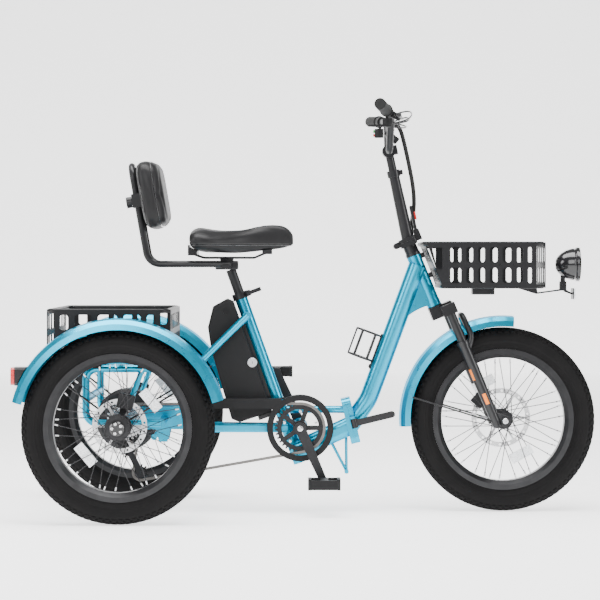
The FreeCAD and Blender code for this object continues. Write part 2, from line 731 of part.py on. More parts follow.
def rear_caliper(side):
    """Two halves over the disc, on a plate bolted to the axle bearing."""
    c = V(0, 0, 0)
    y_disc = HUB_INNER - 4              # inboard of the wheel's middle
    a = math.radians(76)
    mid = V((REAR_ROTOR_R - 12) * math.cos(a), 0, (REAR_ROTOR_R - 12) * math.sin(a))
    body = box(-16, 28, -(y_disc + 13), -(y_disc - 12), -24, 24)
    body = soften(body, 3)
    slot = box(-40, 18, -(y_disc + 2.2), -(y_disc - 2.2), -40, 40)
    body = body.cut(slot)
    body.rotate(V(0, 0, 0), V(0, 1, 0), -76)
    body.translate(mid)
    arm = box(0, REAR_ROTOR_R + 10, -BEARING_OUT, -(y_disc + 13), -12, 12)
    arm.rotate(V(0, 0, 0), V(0, 1, 0), -76)
    arm = arm.cut(y_cyl(c.x, c.z, -150, 150, SHAFT_R + 4))
    out = fuse([body, arm])
    out.translate(V(X_REAR, HALF_TRACK, AXLE_Z))
    return out if side > 0 else mirror_y(out)


# ---------------------------------------------------------------- chain and crank
RING_PITCH_R = CHAIN_PITCH / 2 / math.sin(math.pi / CHAINRING_TEETH)
COG_PITCH_R = CHAIN_PITCH / 2 / math.sin(math.pi / CASSETTE_TEETH[CHAIN_COG])
PULLEY_PITCH_R = CHAIN_PITCH / 2 / math.sin(math.pi / PULLEY_TEETH)
COG_C = V(X_REAR, CHAIN_Y, AXLE_Z)
RING_C = V(BB.x, CHAIN_Y, BB.z)
GUIDE_C = V(X_REAR + 8, CHAIN_Y, AXLE_Z - 89)
TENSION_C = V(X_REAR + 44, CHAIN_Y, AXLE_Z - 158)
# the chain's way round: clockwise wheels count positive
CHAIN_WAY = [
    (COG_C, COG_PITCH_R), (RING_C, RING_PITCH_R), (TENSION_C, PULLEY_PITCH_R), (GUIDE_C, -PULLEY_PITCH_R),
]


def loop_edges(offset):
    """Edges of the chain's closed way, moved sideways by offset, in the plane of the chain."""
    wheels = [(c, r + offset) for c, r in CHAIN_WAY]
    normals = []
    for i, (c, r) in enumerate(wheels):
        d, r_next = wheels[(i + 1) % len(wheels)][0] - c, wheels[(i + 1) % len(wheels)][1]
        normals.append(math.atan2(d.z, d.x) + math.acos((r - r_next) / d.Length))
    edges, runs = [], []
    for i, (c, r) in enumerate(wheels):
        arrive, leave = normals[i - 1], normals[i]
        swing = (leave - arrive) % (2 * math.pi)
        if r > 0:
            swing -= 2 * math.pi
        pts = [c + V(math.cos(t), 0, math.sin(t)) * r for t in (arrive, arrive + swing / 2, leave)]
        edges.append(Part.Arc(*pts).toShape())
        c2, r2 = wheels[(i + 1) % len(wheels)]
        n = V(math.cos(leave), 0, math.sin(leave))
        runs.append((pts[2], c2 + n * r2))
        edges.append(Part.LineSegment(*runs[-1]).toShape())
    return edges, runs


def chain():
    """Two rows of side plates, joined by rollers along the straight runs."""
    outer, inner = Part.Wire(loop_edges(4.0)[0]), Part.Wire(loop_edges(-4.0)[0])
    face = Part.Face(outer).cut(Part.Face(inner))
    bands = []
    for y in (-2.9, 1.7):
        band = face.extrude(V(0, 1.2, 0))
        band.translate(V(0, y, 0))
        bands.append(band)
    rollers = []
    for p, q in loop_edges(0.0)[1]:
        length = (q - p).Length
        along = (q - p).normalize()
        count = max(int((length - 80) // CHAIN_PITCH), 0)
        for k in range(count):
            m = p + along * (length / 2 + (k - (count - 1) / 2) * CHAIN_PITCH)
            rollers.append(cyl(m - V(0, 2.9, 0), m + V(0, 2.9, 0), 3.9))
    return fuse(bands + rollers)


def pulley(centre):
    wheel = toothed_disc(PULLEY_TEETH, 2.2, 3.0 + RUN, centre)
    boss = tube(centre - V(0, 2.8, 0), centre + V(0, 2.8, 0), 8, 3.0 + RUN)
    return fuse([wheel, boss])


def derailleur_cage():
    """Two long cheeks with the pulleys' pins, hung from the knuckle."""
    cheeks = []
    for y in (CHAIN_Y - 6.4, CHAIN_Y + 3.8):
        pts = [(GUIDE_C, 13.0), (TENSION_C, 15.0)]
        discs = [y_cyl(c.x, c.z, y, y + 2.6, r) for c, r in pts]
        d = (TENSION_C - GUIDE_C)
        side = V(d.z, 0, -d.x).normalize()
        strip = [GUIDE_C + side * 9, TENSION_C + side * 9, TENSION_C - side * 9, GUIDE_C - side * 9]
        cheeks.append(fuse(discs + [plate([(p.x, p.z) for p in strip], y, y + 2.6)]))
    pins = [y_cyl(c.x, c.z, CHAIN_Y - 9, CHAIN_Y + 7, 3.0) for c in (GUIDE_C, TENSION_C)]
    pins = [p.cut(cheeks) for p in pins]
    return fuse(cheeks + pins)


KNUCKLE_R = 11.0


def derailleur_body():
    """Hanger from the right side plate down to the knuckle that the cage swings on."""
    y0, y1 = CHAIN_Y + 6.4 + 1.0, -DROP_Y
    knuckle = y_cyl(GUIDE_C.x, GUIDE_C.z, y0, y1, KNUCKLE_R)
    x0, z0 = X_REAR + 46, AXLE_Z - 22
    arm = plate([(GUIDE_C.x - 9, GUIDE_C.z + 4), (GUIDE_C.x + 9, GUIDE_C.z - 5), (x0 + 12, z0), (x0 - 10, z0)], y1 - 5, y1)
    out = fuse([knuckle, arm]).cut([side_plate(-1)])
    return out.cut(y_cyl(GUIDE_C.x, GUIDE_C.z, CHAIN_Y, CHAIN_Y + 7.3, 3.4))


def crank_dir():
    a = math.radians(CRANK_TURN)
    return V(math.sin(a), 0, -math.cos(a))


ARM_Y = 84.0                # inner faces of the crank arms
ARM_T = 13.0
PEDAL_W = 94.0


def crank_arm(side):
    d = crank_dir() * (1 if side < 0 else -1)
    end = BB + d * CRANK_L
    n = V(d.z, 0, -d.x)
    strip = [BB + n * 16, end + n * 11, end - n * 11, BB - n * 16]
    y0 = ARM_Y if side > 0 else -ARM_Y - ARM_T
    blade = plate([(p.x, p.z) for p in strip], y0, y0 + ARM_T)
    ends = [y_cyl(BB.x, BB.z, y0, y0 + ARM_T, 18), y_cyl(end.x, end.z, y0, y0 + ARM_T, 13)]
    out = fuse([blade] + ends)
    return out.cut(y_cyl(BB.x, BB.z, -120, 120, SPINDLE_R)), end


def chainring():
    ring = toothed_disc(CHAINRING_TEETH, 2.4, 56, RING_C)
    y0, y1 = CHAIN_Y - 5.4, CHAIN_Y - 1.2
    arms = []
    for i in range(5):
        arm = box(12, 63, y0, y1, -7, 7)
        arm.rotate(V(0, 0, 0), V(0, 1, 0), 72 * i)
        arm.translate(V(BB.x, 0, BB.z))
        tip = around(RING_C, 60, -72 * i)
        arms.append(arm.fuse(y_cyl(tip.x, tip.z, y0, y1, 8)))
    boss = y_cyl(BB.x, BB.z, -ARM_Y, y1, 22)
    spider = fuse(arms + [boss]).cut(y_cyl(BB.x, BB.z, -120, 120, SPINDLE_R))
    return [ring, spider]


def crankset():
    spindle = y_cyl(BB.x, BB.z, -ARM_Y - ARM_T - 2, ARM_Y + ARM_T + 2, SPINDLE_R)
    right, right_end = crank_arm(-1)
    left, left_end = crank_arm(1)
    pins = []
    for side, end in ((-1, right_end), (1, left_end)):
        pin = y_cyl(end.x, end.z, ARM_Y + ARM_T, ARM_Y + ARM_T + PEDAL_W - 8, 5)
        head = y_cyl(end.x, end.z, ARM_Y + ARM_T, ARM_Y + ARM_T + 4, 8)
        pin = fuse([pin, head])
        pins.append(pin if side > 0 else mirror_y(pin))
    keep("crankset", right, left)
    keep("crankset", spindle)
    keep("crankset", *pins)
    keep("crankset", *chainring())
    for name, side, end in (("right", -1, right_end), ("left", 1, left_end)):
        body = pedal(end, side)
        keep(f"pedal_{name}", body)


def pedal(end, side):
    """Flat pedal: cage, tread bars and a barrel running on the crank's pin."""
    y0 = ARM_Y + ARM_T + 6
    y1 = y0 + PEDAL_W
    h = 14.0
    frame = box(end.x - 46, end.x + 46, y0, y1, end.z - h, end.z + h)
    frame = frame.makeFillet(12, [e for e in frame.Edges if abs(e.Length - 2 * h) < 0.1])
    holes = [box(end.x + s * 26 - 14, end.x + s * 26 + 14, y0 + 10, y1 - 10, end.z - 30, end.z + 30) for s in SIDES]
    barrel = y_cyl(end.x, end.z, y0, y1, 13)
    pads = [box(end.x + s * 43 - 5, end.x + s * 43 + 5, y0 + 12, y1 - 12, end.z - h - 2, end.z + h + 2) for s in SIDES]
    out = fuse([frame.cut(holes), barrel] + pads)
    out = out.cut(y_cyl(end.x, end.z, y0 - 5, y1 - 12, 5 + RUN))
    return out if side > 0 else mirror_y(out)


GUARD_R = 100.0


def chain_guard():
    """Open ring round the chainring with a long cover over the chain's top run."""
    y0, y1 = CHAIN_Y - 15, CHAIN_Y + 9
    ring = y_cyl(BB.x, BB.z, y0, y1, GUARD_R).cut(y_cyl(BB.x, BB.z, y0 - 5, y1 + 5, GUARD_R - 3))
    face = y_cyl(BB.x, BB.z, y0, y0 + 2.5, GUARD_R).cut(y_cyl(BB.x, BB.z, y0 - 5, y1 + 5, GUARD_R - 18))
    top = RING_C.z + RING_PITCH_R + 16
    low = top - 31
    x0 = BB.x - 264
    cover = box(x0, BB.x - 55, y0, y1, low, top).cut(box(x0 - 5, BB.x, y0 + 2.5, y1 + 5, low - 5, top - 2.5))
    hole = y_cyl(BB.x, BB.z, y0 - 5, y1 + 5, GUARD_R - 3)
    cover = cover.cut(hole)
    ways = [box(BB.x - 150, BB.x - 50, y0 + 2.5, y1 + 5, low + 1, top - 2.5)]
    ways.append(box(BB.x - 110, BB.x - 20, CHAIN_Y - 7, y1 + 5, BB.z - 110, BB.z - 50))
    ring = fuse([ring, face]).cut(ways)
    bracket = box(BB.x - 68, BB.x - 46, y1 - 1, -5, top - 3, top)
    out = fuse([ring, cover, bracket.cut(hole)])
    return out.cut(seat_tube_solid())


def drive():
    keep("motor_housing", motor())
    keep("rear_calipers", *[rear_caliper(s) for s in SIDES])
    keep("cassette", cassette())
    keep("chain", chain())
    keep("guide_pulley", pulley(GUIDE_C))
    keep("tension_pulley", pulley(TENSION_C))
    keep("derailleur", derailleur_cage())
    keep("derailleur", derailleur_body())
    keep("chain_guard", chain_guard())
    crankset()


# ---------------------------------------------------------------- baskets
def rail_loop(corners, r, bend):
    """Closed bent tube through corners, starting half way along the first side."""
    start = (corners[0] + corners[-1]) * 0.5
    return round_bar([start] + list(corners) + [start], r, [bend] * len(corners))


def barred_plate(origin, along, up, length, height, windows, t):
    """Flat plate with rectangular rounded windows given as (u0, u1, w0, w1)."""
    def quad(u0, u1, w0, w1):
        pts = [origin + along * u + up * w for u, w in ((u0, w0), (u1, w0), (u1, w1), (u0, w1))]
        return Part.Face(Part.makePolygon(pts + [pts[0]]))

    n = along.cross(up).normalize()
    body = quad(0, length, 0, height).extrude(n * t)
    cuts = []
    for w in windows:
        hole = quad(*w).extrude(n * (t * 3))
        hole.translate(n * -t)
        r = min(9.0, (w[1] - w[0]) / 2.2, (w[3] - w[2]) / 2.2)
        cuts.append(hole.makeFillet(r, [e for e in hole.Edges if abs(e.Length - t * 3) < 0.01]))
    return body.cut(cuts)


def window_rows(length, height, uprights, bar, band, edge):
    """Windows between upright bars, in two rows above and below a middle band."""
    mid = height / 2
    marks = [edge] + [m for u in uprights for m in (u * length - bar / 2, u * length + bar / 2)] + [length - edge]
    rows = ((edge, mid - band / 2), (mid + band / 2, height - edge))
    return [(a, b, w0, w1) for a, b in zip(marks[::2], marks[1::2]) for w0, w1 in rows]


RB_X0 = X_REAR - 217.0      # rear basket's tail
RB_X1 = RB_X0 + REAR_BASKET_L
RB_Z0 = AXLE_Z + 207.0      # centre of its lower rail
RB_Z1 = RB_Z0 + REAR_BASKET_H - 4


def floor_slots(length, width, nx, ny, web):
    du, dw = (length - web) / nx, (width - web) / ny
    return [(web + i * du, (i + 1) * du, web + j * dw, (j + 1) * dw) for i in range(nx) for j in range(ny)]


def rear_basket():
    r, t, hw = BASKET_RAIL_R, BASKET_PLATE_T, REAR_BASKET_HALF_W
    rails = []
    for z in (RB_Z0, RB_Z1):
        c = [V(RB_X0 + r, hw - r, z), V(RB_X1 - r, hw - r, z), V(RB_X1 - r, -hw + r, z), V(RB_X0 + r, -hw + r, z)]
        rails.append(rail_loop(c, r, 24))
    keep("rear_basket", *rails)
    z0, h = RB_Z0, RB_Z1 - RB_Z0
    length = REAR_BASKET_L - 50
    ups = (0.16, 0.38, 0.62, 0.84)
    side = barred_plate(V(RB_X0 + 25, hw, z0 - 4), V(1, 0, 0), V(0, 0, 1), length, h + 8,
                        window_rows(length, h + 8, ups, 18, 16, 15), t)
    side.translate(V(0, t, 0))
    side = side.cut(rails)
    width = 2 * hw - 50
    back_ups = (0.1, 0.22, 0.36, 0.5, 0.64, 0.78, 0.9)
    end = barred_plate(V(RB_X1 - t, -width / 2, z0 - 4), V(0, 1, 0), V(0, 0, 1), width, h + 8,
                       window_rows(width, h + 8, back_ups, 18, 16, 15), t)
    end.translate(V(t, 0, 0))
    tail = end.copy()
    tail.translate(V(-REAR_BASKET_L, 0, 0))
    ends = [end.cut(rails), tail.cut(rails)]
    keep("rear_basket", side, mirror_y(side), *ends)
    fl, fw = REAR_BASKET_L - 2 * r, 2 * (hw - r)
    floor = barred_plate(V(RB_X0 + r, -hw + r, z0 - t), V(1, 0, 0), V(0, 1, 0), fl, fw,
                         floor_slots(fl, fw, 5, 9, 15), t)
    keep("rear_basket_floor", biggest(floor.cut(rails)))
    top = LOOP_TOP + STAY_R
    blocks = []
    for x in (X_REAR - 70, X_REAR + 60):
        block = box(x - 12, x + 12, LOOP_Y - 14, LOOP_Y + 14, LOOP_TOP, z0 - t).cut([side_loop(1), loop_brace(1)] + rails)
        blocks += both_sides(max(block.Solids, key=lambda s: s.BoundBox.ZMax))
    keep("rear_basket", *blocks)


FB_FRONT = X_FRONT + FRONT_BASKET_AHEAD
FB_BACK = 37.0              # rear rail's centre ahead of the steering axis


def fb_corners(z, front, r):
    lean = math.radians(HEAD_LEAN)
    back = HEAD.Base.x + FB_BACK / math.cos(lean) - (z - HEAD.Base.z) * math.tan(lean)
    hw = FRONT_BASKET_HALF_W - r
    return [V(back, hw, z), V(front, hw, z), V(front, -hw, z), V(back, -hw, z)]


def front_basket():
    r, t, hw = BASKET_RAIL_R, BASKET_PLATE_T, FRONT_BASKET_HALF_W
    z0 = HEAD.Base.z + 53.6 + r
    z1 = z0 + FRONT_BASKET_H
    low, high = fb_corners(z0, FB_FRONT - r, r), fb_corners(z1, FB_FRONT - r, r)
    rails = [rail_loop(low, r, 22), rail_loop(high, r, 22)]
    keep("front_basket", *rails)
    up = high[0] - low[0]
    x0, x1 = low[0].x + 8, FB_FRONT - 28
    length = x1 - x0
    h = FRONT_BASKET_H + 8
    ups = (0.2, 0.33, 0.46, 0.6, 0.75, 0.88)
    side = barred_plate(V(x0, hw, z0 - 4), V(1, 0, 0), V(0, 0, 1), length, h,
                        window_rows(length, h, ups, 15, 15, 14), t)
    side.translate(V(0, t, 0))
    # the side reaches back along the head tube's slope
    lean = math.tan(math.radians(HEAD_LEAN))
    fin = plate([(x0 + 1, z0 - 4), (x0 + 1, z0 + h - 4), (x0 - h * lean, z0 + h - 4), (x0 - 8, z0 - 4)], hw, hw + t)
    hole = plate([(x0 - 9, z0 + 52), (x0 - 9, z0 + h - 20), (x0 - h * lean * 0.72, z0 + h - 20), (x0 - 25, z0 + 52)],
                 hw - 5, hw + 5)
    side = fuse([side, fin.cut(hole)])
    bores = [y_cyl(x0 + length * u, z0 + h / 2 - 4 + dz, hw - 9, hw + 9, 2.6) for u, dz in ((0.6, 0), (0.75, 0))]
    side = side.cut(rails + bores)
    width = 2 * hw - 44
    front = barred_plate(V(FB_FRONT - t, -width / 2, z0 - 4), V(0, 1, 0), V(0, 0, 1), width, h,
                         window_rows(width, h, (0.2, 0.4, 0.6, 0.8), 16, 15, 14), t)
    front.translate(V(t, 0, 0))
    lean_up = V(up.x, 0, up.z).normalize()
    back = barred_plate(V(low[0].x, -width / 2, z0), V(0, 1, 0), lean_up, width, up.Length,
                        window_rows(width, up.Length, (0.25, 0.5, 0.75), 22, 20, 14), t)
    keep("front_basket", side, mirror_y(side), front.cut(rails), back.cut(rails))
    fl, fw = FB_FRONT - r - low[0].x, 2 * (hw - r)
    floor = barred_plate(V(low[0].x, -hw + r, z0 - t), V(1, 0, 0), V(0, 1, 0), fl, fw,
                         floor_slots(fl, fw, 4, 4, 14), t)
    keep("front_basket", biggest(floor.cut(rails)))
    pegs = []
    for k in (FRONT_BASKET_H * 0.72, FRONT_BASKET_H * 1.23):
        peg = cyl(on(HEAD, 6, 0, k), on(HEAD, FB_BACK - r - 0.1, 0, k), 8)
        pegs.append(peg.cut([cyl(on(HEAD, 0, 0, -5), on(HEAD, 0, 0, 300), HEAD_TUBE_R), back] + rails))
    keep("front_basket", *pegs)


def light_box():
    """Small control box hung under the front basket's floor."""
    z1 = HEAD.Base.z + 53.6 + BASKET_RAIL_R - BASKET_PLATE_T
    x = X_FRONT - 60
    return soften(box(x - 34, x + 34, -26, 26, z1 - 24, z1), 4)


LAMP_R = 52.0
LAMP_C = V(X_FRONT + 234.0, 0, AXLE_Z + 470.0)      # middle of the headlight's lens
LAMP_PIVOT = V(LAMP_C.x - 50, 0, LAMP_C.z - 62)


def headlight():
    r = LAMP_R
    shell = [(0, -76), (20, -74), (38, -64), (48, -48), (r, -28), (r, 0), (r - 4, 0), (r - 4, -8), (0, -8)]
    body = lathe(shell, V(0, 0, 0))
    body.rotate(V(0, 0, 0), V(0, 0, 1), -90)
    body.translate(LAMP_C)
    foot = box(LAMP_PIVOT.x - 9, LAMP_PIVOT.x + 9, -6, 6, LAMP_PIVOT.z - 1, LAMP_C.z - 20)
    eye = y_cyl(LAMP_PIVOT.x, LAMP_PIVOT.z, -6, 6, 9)
    inside = cyl(LAMP_C + V(-30, 0, 0), LAMP_C + V(-7.9, 0, 0), 44)
    body = fuse([body, foot.cut(inside), eye]).cut(y_cyl(LAMP_PIVOT.x, LAMP_PIVOT.z, -30, 30, 3 + RUN))
    lens = cyl(LAMP_C + V(-8 + GAP, 0, 0), LAMP_C + V(-1, 0, 0), r - 4)
    keep("headlight", body)
    keep("headlight", lens)


def headlight_bracket():
    p = LAMP_PIVOT
    t = 3.0
    cheeks = [box(p.x - 10, p.x + 10, s, s + t, p.z - 16, p.z + 10) for s in (6.2, -6.2 - t)]
    base = box(p.x - 10, p.x + 10, -9.2, 9.2, p.z - 18, p.z - 13)
    z_floor = HEAD.Base.z + 53.6 + BASKET_RAIL_R - BASKET_PLATE_T
    x0 = FB_FRONT - 70
    arm = plate([(x0, z_floor), (x0, z_floor - 4), (FB_FRONT - 12, z_floor - 22), (p.x - 6, p.z - 18),
                 (p.x - 6, p.z - 13), (FB_FRONT - 8, z_floor - 17), (x0 + 60, z_floor - 4), (x0 + 44, z_floor)], -9, 9)
    pin = y_cyl(p.x, p.z, -12, 12, 3)
    stem = plate([(p.x + 3, p.z - 15), (p.x + 9, p.z - 15), (p.x + 30, p.z - 26), (p.x + 30, p.z - 31),
                  (p.x + 3, p.z - 21)], -8, 8)
    plate_back = box(p.x + 28, p.x + 31, -27, 27, p.z - 44, p.z - 10)
    rails = [rail_loop(fb_corners(HEAD.Base.z + 53.6 + BASKET_RAIL_R, FB_FRONT - BASKET_RAIL_R, BASKET_RAIL_R),
                       BASKET_RAIL_R, 22)]
    metal = fuse(cheeks + [base, arm, stem, plate_back]).cut(rails + [pin])
    keep("headlight_bracket", metal, pin)
    keep("headlight_bracket", box(p.x + 31, p.x + 36, -25, 25, p.z - 42, p.z - 12))


# ---------------------------------------------------------------- seat
CLAMP_Z = SEAT_TUBE_UP - 8


def seat_clamp():
    z0, z1 = CLAMP_Z - 11, CLAMP_Z + 9
    ring = tube(on(SEAT, 0, 0, z0), on(SEAT, 0, 0, z1), SEAT_TUBE_R + 5, SEAT_TUBE_R)
    ears = placed(box(SEAT_TUBE_R - 1, SEAT_TUBE_R + 14, -13, 13, z0 + 1, z1 - 1), SEAT)
    bore = cyl(on(SEAT, 0, 0, z0 - 5), on(SEAT, 0, 0, z1 + 5), SEAT_TUBE_R)
    gap = placed(box(SEAT_TUBE_R - 8, SEAT_TUBE_R + 20, -1.2, 1.2, z0 - 5, z1 + 5), SEAT)
    return fuse([ring, ears.cut(bore)]).cut(gap)


SEAT_LEVER_PIN = (SEAT_TUBE_R + 7.0, -21.5)


def seat_lever():
    """Quick release lever on the clamp's right side."""
    x, y = SEAT_LEVER_PIN
    cam = cyl(on(SEAT, x, y, CLAMP_Z - 8), on(SEAT, x, y, CLAMP_Z + 6), 8)
    arm = placed(box(x, x + 36, y - 7, y - 1, CLAMP_Z - 7, CLAMP_Z + 5), SEAT)
    tip = cyl(on(SEAT, x + 36, y - 4, CLAMP_Z - 7), on(SEAT, x + 36, y - 4, CLAMP_Z + 5), 5)
    return fuse([cam, arm, tip])


POST_HEAD_Z = 544.0         # seat post's head above the seat frame's origin
RAIL_Z = 772.0


def seat_post():
    top = on(SEAT, 0, 0, POST_HEAD_Z - 24)
    p = on(SEAT, 0, 0, SEAT_TUBE_UP - 150)
    post = cyl(p, top, SEAT_POST_R)
    bore = cyl(p - (top - p) * 0.1, p + (top - p) * 0.9, SEAT_POST_R - 2.5)
    hx, hz = top.x - 12, RAIL_Z - 25
    head = box(hx - 35, hx + 35, -24, 24, hz - 14, hz + 13)
    head = soften(head, 5)
    yoke = box(hx - 20, hx + 20, -20, 20, hz + 10, hz + 22)
    out = fuse([post, head, yoke]).cut(bore)
    return out.cut(seat_rails())


def seat_rails():
    """Two steel rails under the saddle, running between its nose and its tail."""
    x = on(SEAT, 0, 0, POST_HEAD_Z).x
    out = []
    for s in SIDES:
        pts = [
            V(x + 126, s * 15, RAIL_Z + 17), V(x + 80, s * 22, RAIL_Z - 3),
            V(x - 74, s * 22, RAIL_Z - 3), V(x - 112, s * 50, RAIL_Z + 11),
        ]
        out.append(round_bar(pts, 3.5, [24, 18]))
    return out


SADDLE_NOSE = V(-52.0, 0, 820.0)


def saddle():
    """Padded saddle: sections across X, narrow at the nose and wide behind."""
    x_nose = on(SEAT, 0, 0, POST_HEAD_Z).x + 203
    stations = [
        (0.0, 16, 806, 838), (22.0, 24, 802, 864), (60.0, 31, 797, 873), (110.0, 42, 792, 868),
        (160.0, 66, 788, 856), (205.0, 98, 787, 851), (250.0, 123, 788, 853), (292.0, 130, 791, 858),
        (316.0, 118, 800, 850), (323.0, 96, 812, 838),
    ]
    loops = []
    for dx, hw, z0, z1 in stations:
        loops.append(saddle_ring(x_nose - dx, hw, z0, z1))
    return Part.makeLoft(loops, True, False)


def saddle_ring(x, hw, z0, z1):
    h = z1 - z0
    pts = [(0, z1), (hw * 0.55, z1 - h * 0.05), (hw * 0.9, z1 - h * 0.24), (hw, z1 - h * 0.52),
           (hw * 0.93, z0 + h * 0.16), (hw * 0.7, z0), (0, z0 + 1)]
    ring = [V(x, y, z) for y, z in pts] + [V(x, -y, z) for y, z in reversed(pts[1:-1])]
    curve = Part.BSplineCurve()
    curve.interpolate(Points=ring, PeriodicFlag=True)
    return Part.Wire(curve.toShape())


def saddle_pan():
    """Moulded blocks under the saddle that take the rails' ends."""
    x = on(SEAT, 0, 0, POST_HEAD_Z).x
    tail = box(x - 120, x - 92, -62, 62, RAIL_Z + 4, RAIL_Z + 50)
    nose = box(x + 104, x + 134, -22, 22, RAIL_Z + 8, RAIL_Z + 60)
    keepers = []
    for block in (tail, nose):
        lower = block.cut([saddle()] + seat_rails())
        keepers.append(min(lower.Solids, key=lambda v: v.BoundBox.ZMin))
    return keepers


BACK_TUBE_R = 10.0
BACK_TUBE_Y = 45.0
BACK_LEAN = 10.0


def back_points(s):
    x = on(SEAT, 0, 0, POST_HEAD_Z).x
    z = RAIL_Z + 4 - 26
    bend = V(x - 240, 0, z)
    a = math.radians(BACK_LEAN)
    up = V(-math.sin(a), 0, math.cos(a))
    top = bend + up * 302
    return V(x + 10, s * BACK_TUBE_Y, z), V(bend.x, s * BACK_TUBE_Y, bend.z), V(top.x, s * BACK_TUBE_Y, top.z)


def backrest_tube():
    """One tube: back from under the saddle, up both sides of the pad and over its top."""
    a, b, c = back_points(1)
    d, e, f = back_points(-1)
    return round_bar([a, b, c, f, e, d], BACK_TUBE_R, [42, 40, 40, 42])


def backrest_carrier():
    """Cross bar that ties the backrest tube to the seat post's head."""
    x = on(SEAT, 0, 0, POST_HEAD_Z).x
    z = RAIL_Z + 4 - 26
    bars = [box(x + dx - 12, x + dx + 12, -BACK_TUBE_Y - 12, BACK_TUBE_Y + 12, z - 13, z - 2) for dx in (-6,)]
    return fuse(bars).cut([backrest_tube(), seat_post()])


def back_frame():
    b = back_points(1)[1]
    return lean_frame(V(b.x, 0, b.z), BACK_LEAN)


PAD_Z0, PAD_Z1 = 96.0, 312.0
PAD_SLIDE = 30.0


def backrest_pad():
    """Cushion in front of the tube, thicker in the middle."""
    frame = back_frame()
    x0 = BACK_TUBE_R + 6.5
    hw, h = 150.0, PAD_Z1 - PAD_Z0
    loops = []
    for x, k, m in ((x0, 0.90, 0.88), (x0 + 10, 1.0, 1.0), (x0 + 38, 1.0, 1.0), (x0 + 58, 0.92, 0.90), (x0 + 66, 0.74, 0.70)):
        ring = []
        for i in range(24):
            t = 2 * math.pi * i / 24
            cy, sz = math.cos(t), math.sin(t)
            p = 2.0 / 4.6
            y = hw * k * math.copysign(abs(cy) ** p, cy)
            z = h / 2 * m * math.copysign(abs(sz) ** p, sz) + (PAD_Z0 + PAD_Z1) / 2
            ring.append(V(x, y, z))
        curve = Part.BSplineCurve()
        curve.interpolate(Points=ring, PeriodicFlag=True)
        loops.append(Part.Wire(curve.toShape()))
    return placed(Part.makeLoft(loops, True, False), frame)


def backrest_bracket():
    """Plate behind the pad whose two clips ride on the tube, with a clamping knob."""
    frame = back_frame()
    z0, z1 = PAD_Z0 + 62, PAD_Z0 + 136
    sheet = box(BACK_TUBE_R + 2.2, BACK_TUBE_R + 6.2, -BACK_TUBE_Y - 20, BACK_TUBE_Y + 20, z0, z1)
    clips = []
    for s in SIDES:
        clip = box(-BACK_TUBE_R - 5, BACK_TUBE_R + 3, s * BACK_TUBE_Y - 15, s * BACK_TUBE_Y + 15, z0 + 16, z1 - 16)
        clips.append(clip)
    knob = cyl(V(-BACK_TUBE_R - 22, 0, (z0 + z1) / 2), V(BACK_TUBE_R + 3, 0, (z0 + z1) / 2), 6)
    grip = cyl(V(-BACK_TUBE_R - 26, 0, (z0 + z1) / 2), V(-BACK_TUBE_R - 10, 0, (z0 + z1) / 2), 17)
    bar = box(-BACK_TUBE_R - 8, -BACK_TUBE_R - 3, -BACK_TUBE_Y, BACK_TUBE_Y, (z0 + z1) / 2 - 11, (z0 + z1) / 2 + 11)
    out = fuse([sheet, bar, knob, grip] + clips)
    bores = [cyl(V(0, s * BACK_TUBE_Y, 0), V(0, s * BACK_TUBE_Y, 500), BACK_TUBE_R + RUN) for s in SIDES]
    return placed(out.cut(bores), frame)


def seating():
    keep("seat_tube", seat_clamp())
    keep("seat_lever", seat_lever())
    keep("seat_post", seat_post())
    keep("seat_post", *seat_rails())
    keep("seat_post", *saddle_pan())
    keep("saddle", saddle())
    keep("backrest_tube", backrest_tube())
    keep("backrest_tube", backrest_carrier())
    keep("backrest_bracket", backrest_bracket())
    keep("backrest_pad", backrest_pad())


# ---------------------------------------------------------------- battery
BAT_Z0, BAT_Z1 = 73.0, 441.0
BAT_HALF_W = 38.0
BAT_FRONT = -SEAT_TUBE_R - 6.5


def battery():
    """Long case behind the seat tube, a little thicker towards its foot."""
    outline = [(BAT_FRONT, BAT_Z0), (BAT_FRONT, BAT_Z1 - 14), (BAT_FRONT - 14, BAT_Z1), (BAT_FRONT - 62, BAT_Z1 - 8),
               (BAT_FRONT - 98, BAT_Z1 - 62), (BAT_FRONT - 112, BAT_Z1 - 132), (BAT_FRONT - 124, BAT_Z0 + 20),
               (BAT_FRONT - 104, BAT_Z0 + 2)]
    body = plate(outline, -BAT_HALF_W, BAT_HALF_W)
    body = soften(body, 6)
    groove = box(BAT_FRONT - 6, BAT_FRONT + 5, -12.5, 12.5, BAT_Z0 - 20, BAT_Z1 + 5)
    lock = y_cyl(BAT_FRONT - 30, BAT_Z1 - 34, -BAT_HALF_W - 1, -BAT_HALF_W + 4, 10)
    return placed(body.cut([groove, lock]), SEAT)


def battery_rail():
    rail = box(-SEAT_TUBE_R - 10, 0, -12, 12, BAT_Z0 + 4, BAT_Z1 - 90)
    dock = box(-72, -4, -BAT_HALF_W + 2, BAT_HALF_W - 2, BAT_Z0 - 12, BAT_Z0 - GAP)
    out = fuse([placed(rail, SEAT), placed(dock, SEAT)])
    return out.cut(seat_tube_solid())


# ---------------------------------------------------------------- frame hinge
KNUCKLE_ARM = 12.0          # plate edge to hinge pin


